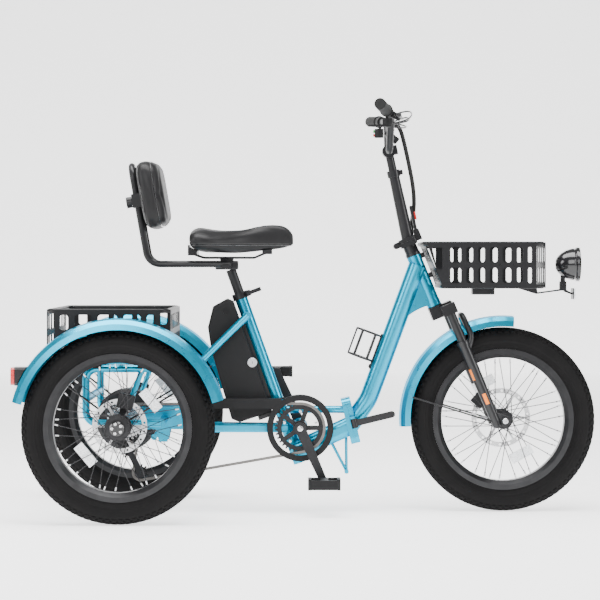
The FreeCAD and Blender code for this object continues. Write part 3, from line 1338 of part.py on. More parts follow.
def hinge_half(side):
    """One flange of the frame hinge. side -1 is the rear one, with two knuckles; side 1 the front one."""
    w, h, t = HINGE_HALF_W, HINGE_HALF_H, HINGE_PLATE_T
    x0, x1 = (GAP / 2, t) if side > 0 else (-t, -GAP / 2)
    body = box(x0, x1, -w, HINGE_PIN_Y - KNUCKLE_ARM, -h, h)
    body = body.makeFillet(20, [e for e in body.Edges if abs(e.Length - (x1 - x0)) < 0.01])
    spans = [(-20.8, 20.8)] if side > 0 else [(-54, -21.2), (21.2, 54)]
    for z0, z1 in spans:
        web = box(x0, x1, HINGE_PIN_Y - KNUCKLE_ARM - 16, HINGE_PIN_Y, z0, z1)
        knuckle = cyl(V(0, HINGE_PIN_Y, z0), V(0, HINGE_PIN_Y, z1), KNUCKLE_ARM - 1.2)
        body = fuse([body, web, knuckle])
    bore = HINGE_PIN_R + (RUN if side > 0 else 0)
    body = body.cut(cyl(V(0, HINGE_PIN_Y, -200), V(0, HINGE_PIN_Y, 200), bore))
    return placed(body, HINGE)


def hinge_pin():
    pin = cyl(V(0, HINGE_PIN_Y, -58), V(0, HINGE_PIN_Y, 58), HINGE_PIN_R)
    heads = [cyl(V(0, HINGE_PIN_Y, z), V(0, HINGE_PIN_Y, z + 4), 7.5) for z in (-58, 54)]
    return placed(fuse([pin] + heads), HINGE)


LATCH_PIN = (HINGE_PLATE_T - 5.0, -HINGE_HALF_W - 13.0)


def frame_latch():
    """Long lever that clamps the hinge, lying forward along the frame's right side."""
    x, y = LATCH_PIN
    cam = cyl(V(x, y, -22), V(x, y, 6), 10)
    arm = box(x, x + 116, y - 5, y + 4, -18, 2)
    arm = placed(arm, FreeCAD.Placement(V(0, 0, 0), FreeCAD.Rotation(V(0, 1, 0), 0)))
    tip = cyl(V(x + 116, y - 5, -8), V(x + 116, y + 4, -8), 10)
    out = fuse([cam, arm, tip]).cut(cyl(V(x, y, -60), V(x, y, 60), 4 + RUN))
    return placed(out, HINGE)


def latch_bolt():
    """Fork on the front flange that carries the latch lever's pin."""
    x, y = LATCH_PIN
    ears = [box(GAP / 2, HINGE_PLATE_T, y - 8, -HINGE_HALF_W, z, z + 7) for z in (6.5, -29.5)]
    pin = cyl(V(x, y, -29.5), V(x, y, 13.5), 4)
    return placed(fuse(ears + [pin]), HINGE)


# ---------------------------------------------------------------- front frame
def head_solid():
    return cyl(on(HEAD, 0, 0, 0), on(HEAD, 0, 0, HEAD_TUBE_L), HEAD_TUBE_R)


def head_tube():
    core = cyl(on(HEAD, 0, 0, 5), on(HEAD, 0, 0, HEAD_TUBE_L - 5), HEAD_TUBE_R - 1)
    bands = [cyl(on(HEAD, 0, 0, z), on(HEAD, 0, 0, z + 16), HEAD_TUBE_R) for z in (0, HEAD_TUBE_L - 16)]
    bore = cyl(on(HEAD, 0, 0, -10), on(HEAD, 0, 0, HEAD_TUBE_L + 10), STEERER_R + RUN)
    return fuse([core] + bands).cut(bore)


def down_points():
    start = on(HINGE, 0, 0, -12)
    knee = start + V(52, 0, 76)
    end = on(HEAD, 0, 0, HEAD_TUBE_L - 32)
    return start, knee, end


def down_solid():
    a, b, c = down_points()
    return oval_bar([a - (b - a).normalize() * 10, b, c], DOWN_TUBE_W, DOWN_TUBE_H, 150)


def down_hollow():
    """Room inside the tube's straight run, above its bend."""
    a, b, c = down_points()
    along = (c - b).normalize()
    return cyl(b + along * 110, c, min(DOWN_TUBE_W, DOWN_TUBE_H) / 2 - TUBE_WALL)


def down_tube():
    return biggest(down_solid().cut([head_solid(), hinge_block(-60, HINGE_PLATE_T)]).cut(down_hollow()))


def head_gusset():
    """Web that spreads the down tube's load onto the head tube's lower end."""
    a, b, c = down_points()
    low, high = on(HEAD, -5, 0, 6), on(HEAD, -5, 0, HEAD_TUBE_L - 60)
    along = (c - b).normalize()
    foot = b + along * ((c - b).Length * 0.46)
    edge = Part.Arc(foot, (foot + low) * 0.5 + V(-16, 0, 12), low).toShape()
    sides = [Part.LineSegment(low, high).toShape(), Part.LineSegment(high, foot).toShape()]
    web = Part.Face(Part.Wire([edge] + sides)).extrude(V(0, 38, 0))
    web.translate(V(0, -19, 0))
    return web.cut([head_solid(), down_solid()])


def bottle_cage():
    """Wire cage on the down tube's rear side."""
    a, b, c = down_points()
    along = (c - b).normalize()
    back = V(-along.z, 0, along.x)
    base = b + along * 108 + back * (DOWN_TUBE_W / 2 + 0.3)
    side = V(0, -1, 0)
    m = FreeCAD.Matrix(
        back.x, side.x, along.x, base.x,
        back.y, side.y, along.y, base.y,
        back.z, side.z, along.z, base.z,
        0, 0, 0, 1,
    )
    frame = FreeCAD.Placement(m)
    r, cup = 3.0, 38.0
    strap = box(0, 4, -9, 9, -20, 92)
    hoops = []
    for z in (4.0, 84.0):
        hoop = Part.makeTorus(cup, r, V(cup + 3, 0, z), V(0, 0, 1))
        hoops.append(hoop)
    rods = []
    for k in (55, 120, 180, 240, 305):
        t = math.radians(k)
        x, y = cup + 3 - cup * math.cos(t), cup * math.sin(t)
        rods.append(cyl(V(x, y, 4), V(x, y, 84), r - 0.4))
    foot = box(0, cup + 5, -7, 7, 1, 6)
    bolts = [cyl(V(-0.2, 0, z), V(7, 0, z), 5) for z in (-12, 46)]
    return placed(fuse([strap, foot] + hoops + rods + [bolts[0]]), frame)


def front_frame():
    keep("rear_hinge_half", hinge_half(-1))
    keep("front_hinge_half", hinge_half(1))
    keep("rear_hinge_half", hinge_pin())
    keep("frame_latch", frame_latch())
    keep("front_hinge_half", latch_bolt())
    keep("head_tube", head_tube())
    keep("down_tube", down_tube())
    keep("down_tube", head_gusset())
    keep("bottle_cage", bottle_cage())
    front_basket()
    keep("headlight_bracket", light_box())
    headlight()
    headlight_bracket()


# ---------------------------------------------------------------- fork
CROWN_Z0, CROWN_Z1 = -40.0, -3.0
STANCHION_END = -290.0
LOWER_TOP, LOWER_END = -137.0, -405.0


def fork_crown():
    """Steerer, crown and the two sliding tubes."""
    steerer = cyl(on(HEAD, 0, 0, CROWN_Z0), on(HEAD, 0, 0, SPLIT - 12), STEERER_R)
    race = cyl(on(HEAD, 0, 0, CROWN_Z1), on(HEAD, 0, 0, -0.4), HEAD_TUBE_R + 1)
    block = box(-22, 50, -34, 34, CROWN_Z0, CROWN_Z1)
    arms = box(10, 54, -LEG_Y - 20, LEG_Y + 20, CROWN_Z0, CROWN_Z1 - 5)
    shape = soften(fuse([block, arms]), 5)
    legs = [cyl(on(HEAD, LEG_AHEAD, s * LEG_Y, STANCHION_END), on(HEAD, LEG_AHEAD, s * LEG_Y, CROWN_Z1 - 8), STANCHION_R)
            for s in SIDES]
    crown = placed(shape, HEAD).cut(legs + [steerer])
    keep("fork_crown", fuse([crown.cut(race), race.cut(steerer)]))
    keep("fork_crown", steerer)
    keep("fork_crown", *legs)


def fork_lowers():
    """Both sliders, joined by the arch in front, with the axle lugs at their feet."""
    parts, cuts = [], []
    ax, az = FORK_OFFSET, -FORK_DROP
    for s in SIDES:
        top, mid, end = [on(HEAD, LEG_AHEAD, s * LEG_Y, z) for z in (LOWER_TOP, LOWER_TOP - 70, LOWER_END)]
        parts += [cyl(mid, top, LOWER_R), cone(end, mid, 14, LOWER_R)]
        seal = cyl(on(HEAD, LEG_AHEAD, s * LEG_Y, LOWER_TOP - 4), on(HEAD, LEG_AHEAD, s * LEG_Y, LOWER_TOP + 8), LOWER_R + 2)
        parts.append(seal)
        y0, y1 = sorted((s * (FRONT_HUB_HALF + 1.5), s * (LEG_Y + 4)))
        lug = plate([(LEG_AHEAD - 8, LOWER_END + 44), (LEG_AHEAD + 6, LOWER_END + 44), (ax + 13, az + 8), (ax + 13, az - 10),
                     (LEG_AHEAD + 4, LOWER_END - 8), (LEG_AHEAD - 8, LOWER_END - 4)], y0, y1)
        parts.append(placed(lug, HEAD))
        cuts.append(cyl(on(HEAD, LEG_AHEAD, s * LEG_Y, STANCHION_END - FORK_TRAVEL - 12),
                        on(HEAD, LEG_AHEAD, s * LEG_Y, 50), STANCHION_R + RUN))
    x_arch, z_arch = LEG_AHEAD + 32, -58.0
    pts = [on(HEAD, x, y, z) for x, y, z in (
        (LEG_AHEAD + 4, LEG_Y, LOWER_TOP - 24), (x_arch, LEG_Y - 2, LOWER_TOP + 12), (x_arch, 44, z_arch),
        (x_arch, -44, z_arch), (x_arch, -LEG_Y + 2, LOWER_TOP + 12), (LEG_AHEAD + 4, -LEG_Y, LOWER_TOP - 24))]
    parts.append(round_bar(pts, 9.0, [24, 34, 34, 24]))
    axle = y_cyl(X_FRONT, AXLE_Z, -200, 200, FRONT_AXLE_R)
    return fuse(parts).cut(cuts + [axle])


def front_axle():
    y = LEG_Y + 4
    bar = y_cyl(X_FRONT, AXLE_Z, -y - 12, y + 12, FRONT_AXLE_R)
    nuts = [Part.makeCylinder(10, 9, V(X_FRONT, y0, AXLE_Z), V(0, 1, 0)) for y0 in (y + 0.01, -y - 9.01)]
    return fuse([bar] + nuts)


def front_caliper():
    """Brake caliper behind the left fork leg, straddling the disc."""
    y_disc = 50.0
    body = soften(box(-14, 26, y_disc - 10, y_disc + 7.6, -24, 24), 3)
    body = body.cut(box(-40, 15, y_disc - 2.2, y_disc + 2.2, -40, 40))
    deg = 138
    body.rotate(V(0, 0, 0), V(0, 1, 0), -deg)
    mid = around(FRONT_AXLE, ROTOR_R - 11, deg)
    body.translate(V(mid.x, 0, mid.z))
    legs = [cyl(on(HEAD, LEG_AHEAD, LEG_Y, 0), on(HEAD, LEG_AHEAD, LEG_Y, LOWER_END), LOWER_R)]
    arm = box(-14, 40, y_disc + 7.6, y_disc + 16, -17, 17)
    arm.rotate(V(0, 0, 0), V(0, 1, 0), -(deg - 48))
    mid = around(FRONT_AXLE, ROTOR_R - 4, deg - 4)
    arm.translate(V(mid.x, 0, mid.z))
    return fuse([body, arm]).cut(legs + [fork_lowers()])


def front_fender():
    c = FRONT_AXLE
    guard = fender(c, FRONT_FENDER_START, FRONT_FENDER_END, FENDER_W / 2)
    keep("front_fender", guard)
    y = FENDER_W / 2 + 3.3
    stays = []
    legs = fork_lowers()
    for s in SIDES:
        p = around(c, FENDER_SKIRT_R + 9, 166, s * y)
        q = on(HEAD, LEG_AHEAD - 13, s * (LEG_Y + 6), LOWER_END + 22)
        wire = cyl(p, q, 2.5)
        end = y_cyl(p.x, p.z, s * y - 3.2, s * y + 3.2, 6)
        stays.append(fuse([wire, end]).cut(legs))
    tab = placed(box(LEG_AHEAD + 20, LEG_AHEAD + 40, -12, 12, -84, -62), HEAD)
    tab = tab.cut([legs, y_cyl(c.x, c.z, -60, 60, FENDER_R + 0.01)])
    keep("front_fender", *[max(x.Solids, key=lambda v: v.Volume) for x in stays],
         max(tab.Solids, key=lambda v: v.Volume))


def fork():
    fork_crown()
    keep("fork_lowers", fork_lowers())
    keep("fork_lowers", front_axle())
    keep("fork_lowers", front_caliper())
    front_fender()


# ---------------------------------------------------------------- handlebar post
POST_PIN_R = 5.0
POST_KNUCKLE_R = 9.0


def post_base():
    """Clamp block on the steerer with the lower half of the folding joint."""
    z0 = HEAD_TUBE_L + 0.4
    cap = cyl(on(HEAD, 0, 0, z0), on(HEAD, 0, 0, z0 + 9), HEAD_TUBE_R + 1)
    neck = cyl(on(HEAD, 0, 0, z0 + 9), on(HEAD, 0, 0, z0 + 34), 21)
    block = box(-26, 26, -25, 25, SPLIT - 14, SPLIT - GAP / 2)
    block = block.makeFillet(7, [e for e in block.Edges if e.Length < 20])
    ears = []
    for s in SIDES:
        y0, y1 = sorted((s * 12.4, s * 25))
        ears.append(y_cyl(-POST_PIN_BACK, SPLIT, y0, y1, POST_KNUCKLE_R))
        ears.append(box(-POST_PIN_BACK, -20, y0, y1, SPLIT - 9, SPLIT - GAP / 2))
    clear = box(-60, -POST_PIN_BACK + POST_KNUCKLE_R + 1.5, -12.4, 12.4, z0, SPLIT + 20)
    head_pin = y_cyl(-POST_PIN_BACK, SPLIT, -60, 60, POST_PIN_R)
    out = placed(fuse([block] + ears).cut([clear, head_pin]), HEAD)
    steerer = cyl(on(HEAD, 0, 0, 0), on(HEAD, 0, 0, SPLIT - 12), STEERER_R)
    return fuse([cap, neck, out]).cut(steerer)


def post_pin():
    return placed(y_cyl(-POST_PIN_BACK, SPLIT, -27, 27, POST_PIN_R), HEAD)


COLLAR_Z = 206.0
INNER_FOOT = 94.0
CLAMP_UP = 280.0            # handlebar clamp above the folding joint


def handle_post():
    """Upper half of the folding joint and the tapered post."""
    top = SPLIT + 12
    flange = box(-26, 26, -25, 25, SPLIT + GAP / 2, top)
    flange = flange.makeFillet(7, [e for e in flange.Edges if abs(e.Length - (12 - GAP / 2)) < 0.1])
    knuckle = y_cyl(-POST_PIN_BACK, SPLIT, -12, 12, POST_KNUCKLE_R)
    web = box(-POST_PIN_BACK, -20, -12, 12, SPLIT + GAP / 2, SPLIT + 9)
    pin = y_cyl(-POST_PIN_BACK, SPLIT, -60, 60, POST_PIN_R + RUN)
    joint = placed(fuse([flange, knuckle, web]).cut(pin), HEAD)
    post = cone(on(POST, 0, 0, 4), on(POST, 0, 0, COLLAR_Z - 6), POST_FOOT_R, POST_HEAD_R + 0.5)
    below = placed(box(-90, 90, -60, 60, SPLIT - 80, SPLIT + GAP / 2), HEAD)
    bore = cyl(on(POST, 0, 0, 14), on(POST, 0, 0, COLLAR_Z + 40), INNER_POST_R + RUN)
    return fuse([joint, post.cut(below)]).cut(bore)


def post_collar():
    """Clamp collar at the post's top, with its bolt."""
    z0, z1 = COLLAR_Z - 6, COLLAR_Z + 14
    ring = tube(on(POST, 0, 0, z0), on(POST, 0, 0, z1), POST_HEAD_R + 4, INNER_POST_R + RUN)
    ear = placed(box(14, 28, -8, 8, z0 + 3, z1 - 3), POST)
    bore = cyl(on(POST, 0, 0, z0 - 5), on(POST, 0, 0, z1 + 5), INNER_POST_R + 1)
    bolt = placed(y_cyl(22, COLLAR_Z + 4, -13, 13, 3.5), POST)
    return fuse([ring, ear.cut(bore), bolt])


POST_LATCH_PIN = (36.0, 20.0)


def post_latch_fork():
    """Two ears in front of the lower block that carry the latch lever."""
    x, z = POST_LATCH_PIN
    ears = []
    for s in SIDES:
        y0, y1 = sorted((s * 9.2, s * 14))
        ear = [y_cyl(x, SPLIT + z, y0, y1, 8), box(27, x + 8, y0, y1, SPLIT - 9, SPLIT + z)]
        ears.append(fuse(ear + [box(26, 30, y0, y1, SPLIT - 9, SPLIT - 1)]))
    bridge = box(26, 32, -14, 14, SPLIT - 9, SPLIT - 2)
    pin = y_cyl(x, SPLIT + z, -16, 16, 3)
    return placed(fuse(ears + [bridge, pin]), HEAD)


def latch_frame():
    """The latch lever's own axes: along the post, from the lever's pin."""
    x, z = POST_LATCH_PIN
    return lean_frame(on(HEAD, x, 0, SPLIT + z), POST_LEAN)


def post_latch():
    """Lever in front of the post, lying up against it when closed."""
    eye = y_cyl(0, 0, -8.8, 8.8, 8)
    arm = box(-5, 4, -8.8, 8.8, 0, 74)
    out = fuse([eye, arm, y_cyl(-0.5, 74, -8.8, 8.8, 4.5)])
    return placed(out.cut(y_cyl(0, 0, -30, 30, 3 + RUN)), latch_frame())


def latch_catch():
    """Small sliding catch on the latch lever."""
    return placed(soften(box(4.01, 10, -6, 6, 34, 58), 2), latch_frame())


def bar_points():
    mid = on(POST, 0, 0, CLAMP_UP)
    rise = V(mid.x + 1, 0, mid.z + 99)
    end = V(mid.x - 42, 0, mid.z + 116)
    half = [(end, BAR_HALF_W), (rise, 146.0), (mid, 52.0)]
    left = [V(p.x, y, p.z) for p, y in half]
    return left + [V(p.x, -p.y, p.z) for p in reversed(left)]


def handlebar():
    return round_bar(bar_points(), BAR_R, [60, 36, 36, 60])


def bar_end_frame(side):
    """Grip's outer end and the direction from it towards the middle."""
    pts = bar_points()
    end, inner = (pts[0], pts[1]) if side > 0 else (pts[-1], pts[-2])
    return end, (inner - end).normalize()


def inner_post():
    post = cyl(on(POST, 0, 0, INNER_FOOT), on(POST, 0, 0, CLAMP_UP - 8), INNER_POST_R)
    clamp = y_cyl(on(POST, 0, 0, CLAMP_UP).x, on(POST, 0, 0, CLAMP_UP).z, -22, 22, BAR_R + 9)
    face = placed(box(14, 26, -20, 20, CLAMP_UP - 14, CLAMP_UP + 14), POST)
    return fuse([post, clamp, face]).cut(handlebar())


def grips():
    out = []
    for s in SIDES:
        end, d = bar_end_frame(s)
        body = cyl(end - d * 1.5, end + d * GRIP_L, GRIP_R)
        collar = cyl(end + d * GRIP_L, end + d * (GRIP_L + 7), GRIP_R + 2.5)
        out.append(fuse([body, collar]).cut(handlebar()))
    return out


LEVER_BACK = 159.0          # brake lever pivot from the grip's outer end


def lever_frame():
    """Right lever's axes: X ahead of the bar and a little down, Y inboard along it, origin on the bar."""
    end, d = bar_end_frame(-1)
    o = end + d * LEVER_BACK
    drop = math.radians(28)
    level = d.cross(V(0, 0, 1)).normalize()
    up = level.cross(d).normalize()
    ahead = level * math.cos(drop) - up * math.sin(drop)
    top = ahead.cross(d).normalize()
    m = FreeCAD.Matrix(
        ahead.x, d.x, top.x, o.x,
        ahead.y, d.y, top.y, o.y,
        ahead.z, d.z, top.z, o.z,
        0, 0, 0, 1,
    )
    return FreeCAD.Placement(m)


LEVER_REACH = 36.0
LEVER_EYE_H = 4.0


def brake_perch(side):
    """Clamp on the bar with two cheeks for the lever's pin and a small switch barrel."""
    if side > 0:
        return mirror_y(brake_perch(-1))
    x, h = LEVER_REACH, LEVER_EYE_H + GAP
    shapes = [y_cyl(0, 0, -13, 13, BAR_R + 5), box(8, x - 13, -8, 8, -9, 9)]
    for z0, z1 in ((h, 9), (-9, -h)):
        shapes += [box(x - 16, x, -8, 8, z0, z1), cyl(V(x, 0, z0), V(x, 0, z1), 8)]
    shapes.append(cyl(V(18, 6, 0), V(20, 42, 0), 7.5))
    shapes.append(cyl(V(x, 0, -9), V(x, 0, 9), 3))
    return placed(fuse(shapes), lever_frame()).cut(handlebar())


def brake_lever(side):
    """Blade that follows the grip outwards and ends in a ball."""
    if side > 0:
        return mirror_y(brake_lever(-1))
    x = LEVER_REACH
    eye = cyl(V(x, 0, -LEVER_EYE_H), V(x, 0, LEVER_EYE_H), 8)
    pts = [V(x + 1, -4, 0), V(x + 17, -26, 0), V(x + 15, -104, 0), V(x + 20, -118, 0)]
    blade = round_bar(pts, 3.9, [20, 20])
    ball = Part.makeSphere(7, pts[-1])
    pin = cyl(V(x, 0, -20), V(x, 0, 20), 3 + RUN)
    return placed(fuse([eye, blade, ball]).cut(pin), lever_frame())


def display():
    """Small screen on the bar's right riser."""
    mid = on(POST, 0, 0, CLAMP_UP)
    p = V(mid.x + 2, 0, mid.z + 2)
    body = soften(box(-9, 9, -31, 31, -24, 24), 4)
    body.rotate(V(0, 0, 0), V(0, 1, 0), -52)
    body.translate(V(p.x + 6, 0, p.z + 42))
    foot = cyl(V(p.x, 0, p.z + 12), V(p.x + 5, 0, p.z + 40), 7)
    return fuse([body, foot]).cut([handlebar(), inner_post()])


POD_BACK = GRIP_L + 8.5     # switch clamps, from the grip's outer end
POD_L = 11.0


def pod(side, along, r, length):
    """Clamp ring with a small housing on the bar beside the brake perch."""
    end, d = bar_end_frame(side)
    a = end + d * along
    return cyl(a, a + d * length, r).cut(handlebar())


def shifter():
    """Gear shifter's housing under the right side of the bar."""
    ring = pod(-1, POD_BACK, BAR_R + 5, POD_L)
    end, d = bar_end_frame(-1)
    p = end + d * (POD_BACK + POD_L / 2)
    neck = cyl(p + V(0, 0, -10), p + V(0, 0, -26), 4.5)
    body = cyl(p + V(2, 0, -22), p + V(2, 0, -40), 15)
    return fuse([ring, neck, body]).cut([handlebar(), brake_perch(-1)])


def shift_axis():
    end, d = bar_end_frame(-1)
    return end + d * (POD_BACK + POD_L / 2) + V(2, 0, -40.3)


def shift_lever():
    p = shift_axis()
    hub = cyl(p, p - V(0, 0, 7), 14)
    arm = box(p.x - 48, p.x - 4, p.y - 5, p.y + 5, p.z - 6.5, p.z - 0.5)
    pad = cyl(V(p.x - 48, p.y, p.z - 6.5), V(p.x - 48, p.y, p.z - 0.5), 8)
    return fuse([hub, arm, pad])


def switch_pod():
    """Horn and lamp switch on the left side of the bar."""
    end, d = bar_end_frame(1)
    a = end + d * (POD_BACK + POD_L / 2)
    neck = cyl(a + V(0, 0, -10), a + V(0, 0, -26), 4.5)
    body = fuse([pod(1, POD_BACK, BAR_R + 5, POD_L), neck, cyl(a + V(-3, 0, -22), a + V(-3, 0, -50), 14)])
    return body.cut([handlebar(), brake_perch(1)])


def switch_buttons():
    end, d = bar_end_frame(1)
    a = end + d * (POD_BACK + POD_L / 2)
    out = []
    for z in (-30, -42):
        p = a + V(-17.05, 0, z)
        out.append(cyl(p, p + V(-4.5, 0, 0), 4.5))
    return out


def bar_controls():
    keep("post_base", post_base())
    keep("post_base", post_pin())
    keep("handle_post", handle_post())
    keep("handle_post", post_collar())
    keep("post_base", post_latch_fork())
    keep("post_latch", post_latch())
    keep("post_latch", latch_catch())
    keep("handlebar", handlebar())
    keep("handlebar", inner_post())
    keep("grips", *grips())
    keep("bar_controls", display())
    for side, name in ((1, "left"), (-1, "right")):
        keep("bar_controls", brake_perch(side))
        keep(f"brake_lever_{name}", brake_lever(side))
    keep("bar_controls", shifter())
    keep("shift_lever", shift_lever())
    keep("bar_controls", switch_pod())
    keep("bar_controls", *switch_buttons())


# ---------------------------------------------------------------- cables
CABLE_R = 2.5
BUNDLE_R = 7.0


def cable_bundle():
    """Wrapped bundle from the bar down to the port in the down tube."""
    mid = on(POST, 0, 0, CLAMP_UP)
    top = V(mid.x + 66, 0, mid.z + 110)
    pts = [
        V(mid.x + 40, -6, mid.z + 96), top, V(mid.x + 92, 4, mid.z + 10), V(mid.x + 120, 20, mid.z - 130),
        on(HEAD, 24, 44, SPLIT + 30), on(HEAD, -6, 44, HEAD_TUBE_L - 20), on(HEAD, -40, 36, HEAD_TUBE_L - 80),
    ]
    return round_bar(pts, BUNDLE_R, [14, 70, 90, 50, 60]).cut([down_solid(), head_solid()])


def build():
    front_wheel()
    for side in SIDES:
        rear_wheel(side)
        rear_fender(side)
        tail_lamp(side)
    reflectors = [wheel_reflector(FRONT_AXLE, 118), wheel_reflector(FRONT_AXLE, -62)]
    keep("front_spokes", *reflectors)
    for side, name in ((1, "left"), (-1, "right")):
        c = V(X_REAR, side * HALF_TRACK, AXLE_Z)
        keep(f"rear_spokes_{name}", wheel_reflector(c, 40), wheel_reflector(c, -140))
    rear_frame()
    drive()
    rear_basket()
    seating()
    keep("battery", battery())
    keep("seat_tube", battery_rail())
    front_frame()
    fork()
    bar_controls()
    keep("cable_bundle", cable_bundle())


def export():
    os.makedirs("parts", exist_ok=True)
    for name, solids in NODES.items():
        Part.makeCompound(solids).exportStep(f"parts/{name}.step")


build()
export()
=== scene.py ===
"""Looks of a folding electric adult tricycle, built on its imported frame."""
import json
import math

import bmesh
import bpy
from bpy.props import FloatProperty, FloatVectorProperty, IntProperty, PointerProperty
from mathutils import Matrix, Vector

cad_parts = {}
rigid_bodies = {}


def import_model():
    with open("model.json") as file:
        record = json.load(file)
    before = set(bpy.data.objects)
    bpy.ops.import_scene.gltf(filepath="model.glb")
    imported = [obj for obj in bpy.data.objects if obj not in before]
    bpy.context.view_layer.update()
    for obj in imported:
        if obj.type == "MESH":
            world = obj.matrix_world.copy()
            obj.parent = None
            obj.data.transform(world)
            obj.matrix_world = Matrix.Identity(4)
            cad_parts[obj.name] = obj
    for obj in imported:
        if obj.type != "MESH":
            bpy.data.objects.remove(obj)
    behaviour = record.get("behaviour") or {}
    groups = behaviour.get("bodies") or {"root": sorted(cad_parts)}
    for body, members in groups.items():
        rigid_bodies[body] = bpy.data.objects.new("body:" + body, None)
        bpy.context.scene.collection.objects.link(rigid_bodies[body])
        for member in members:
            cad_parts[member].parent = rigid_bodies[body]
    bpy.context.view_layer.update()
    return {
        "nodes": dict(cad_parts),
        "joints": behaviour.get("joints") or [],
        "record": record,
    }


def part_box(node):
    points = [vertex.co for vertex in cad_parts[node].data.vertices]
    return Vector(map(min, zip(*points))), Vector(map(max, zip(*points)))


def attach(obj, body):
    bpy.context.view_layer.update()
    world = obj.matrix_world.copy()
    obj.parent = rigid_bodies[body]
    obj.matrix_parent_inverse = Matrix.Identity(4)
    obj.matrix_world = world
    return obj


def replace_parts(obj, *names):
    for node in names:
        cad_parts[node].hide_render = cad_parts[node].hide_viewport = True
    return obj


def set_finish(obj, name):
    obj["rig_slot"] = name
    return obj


bl_info = {
    "name": "Adult tricycle",
    "version": (1, 0, 0),
    "blender": (4, 5, 0),
    "location": "View3D > Sidebar > Tricycle",
    "description": "Tyres, seat, cables, lamps and finishes of a folding adult tricycle",
    "category": "Object",
}

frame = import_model()
NODES = frame["nodes"]
JOINTS = {j["name"]: j for j in frame["joints"]}

REAR_AXLE = Vector(JOINTS["rear_wheel_spin_right"]["pos_m"])
FRONT_AXLE = Vector(JOINTS["front_wheel_spin"]["pos_m"])
HALF_TRACK = abs(REAR_AXLE.y)
BOTTOM_BRACKET = Vector(JOINTS["crank_spin"]["pos_m"])
SEAT_AXIS = Vector(JOINTS["seat_height"]["axis"])
HEAD = Vector(JOINTS["steering_turn"]["pos_m"])
HEAD_AXIS = Vector(JOINTS["steering_turn"]["axis"])
POST_PIN = Vector(JOINTS["post_fold"]["pos_m"])
POST_AXIS = Vector(JOINTS["stem_height"]["axis"])
BACK_AXIS = Vector(JOINTS["backrest_height"]["axis"])
LAMP_PIVOT = Vector(JOINTS["headlight_tilt"]["pos_m"])
WHEELS = [
    ("front_tyre", FRONT_AXLE, "front_wheel"),
    ("rear_tyre_left", Vector((REAR_AXLE.x, HALF_TRACK, REAR_AXLE.z)), "rear_wheel_left"),
    ("rear_tyre_right", Vector((REAR_AXLE.x, -HALF_TRACK, REAR_AXLE.z)), "rear_wheel_right"),
]


# ------------------------------------------------------------ settings
class TRIKE_PG_colours(bpy.types.PropertyGroup):
    paint: FloatVectorProperty(name="Frame paint", description="Middle tone of the metallic paint",
                               subtype="COLOR", size=3, default=(0.0, 0.190, 0.350), min=0, max=1)
    paint_flake: FloatVectorProperty(name="Paint flake", description="Bright flakes in the paint",
                                     subtype="COLOR", size=3, default=(0.001, 0.440, 0.620), min=0, max=1)
    black: FloatVectorProperty(name="Black metal", description="Coated metal parts",
                               subtype="COLOR", size=3, default=(0.010, 0.010, 0.011), min=0, max=1)
    cover: FloatVectorProperty(name="Seat cover", description="Soft cover of the saddle and the backrest",
                               subtype="COLOR", size=3, default=(0.009, 0.009, 0.010), min=0, max=1)
    accent: FloatVectorProperty(name="Accent", description="Bands on the fork",
                                subtype="COLOR", size=3, default=(0.85, 0.20, 0.01), min=0, max=1)


class TRIKE_PG_tyres(bpy.types.PropertyGroup):
    pitches: IntProperty(name="Tread pitches", description="How often the tread repeats round a tyre",
                         default=84, min=24, max=160)
    block: FloatProperty(name="Block height", description="Height of a tread block",
                         default=0.0022, min=0.001, max=0.005, unit="LENGTH")


class TRIKE_PG_seat(bpy.types.PropertyGroup):
    voxel: FloatProperty(name="Voxel", description="Mesh size used before the cover is filled",
                         default=0.006, min=0.003, max=0.012, unit="LENGTH")
    pressure: FloatProperty(name="Pressure", description="Pressure that fills the covers", default=4.0, min=0, max=20)
    swell: FloatProperty(name="Swell", description="Furthest that a cover may move out",
                         default=0.005, min=0.001, max=0.03, unit="LENGTH")


class TRIKE_PG_cables(bpy.types.PropertyGroup):
    bundle: FloatProperty(name="Bundle", description="Diameter of the wrapped bundle",
                          default=0.013, min=0.006, max=0.02, unit="LENGTH")
    strand: FloatProperty(name="Strand", description="Diameter of a single cable",
                          default=0.005, min=0.003, max=0.008, unit="LENGTH")


# ------------------------------------------------------------ materials
class Wire:
    """A shader socket that can be used in a sum."""

    def __init__(self, finish, socket):
        self.finish = finish
        self.socket = socket

    def maths(self, operation, other=0.0, swap=False):
        a, b = (other, self) if swap else (self, other)
        node = self.finish.add("ShaderNodeMath", {"operation": operation}, {0: a, 1: b})
        return Wire(self.finish, node.outputs[0])

    def __add__(self, other):
        return self.maths("ADD", other)

    def __radd__(self, other):
        return self.maths("ADD", other, True)

    def __sub__(self, other):
        return self.maths("SUBTRACT", other)

    def __rsub__(self, other):
        return self.maths("SUBTRACT", other, True)

    def __mul__(self, other):
        return self.maths("MULTIPLY", other)

    def __rmul__(self, other):
        return self.maths("MULTIPLY", other, True)

    def over(self, limit):
        return self.maths("GREATER_THAN", limit)

    def under(self, limit):
        return self.maths("LESS_THAN", limit)


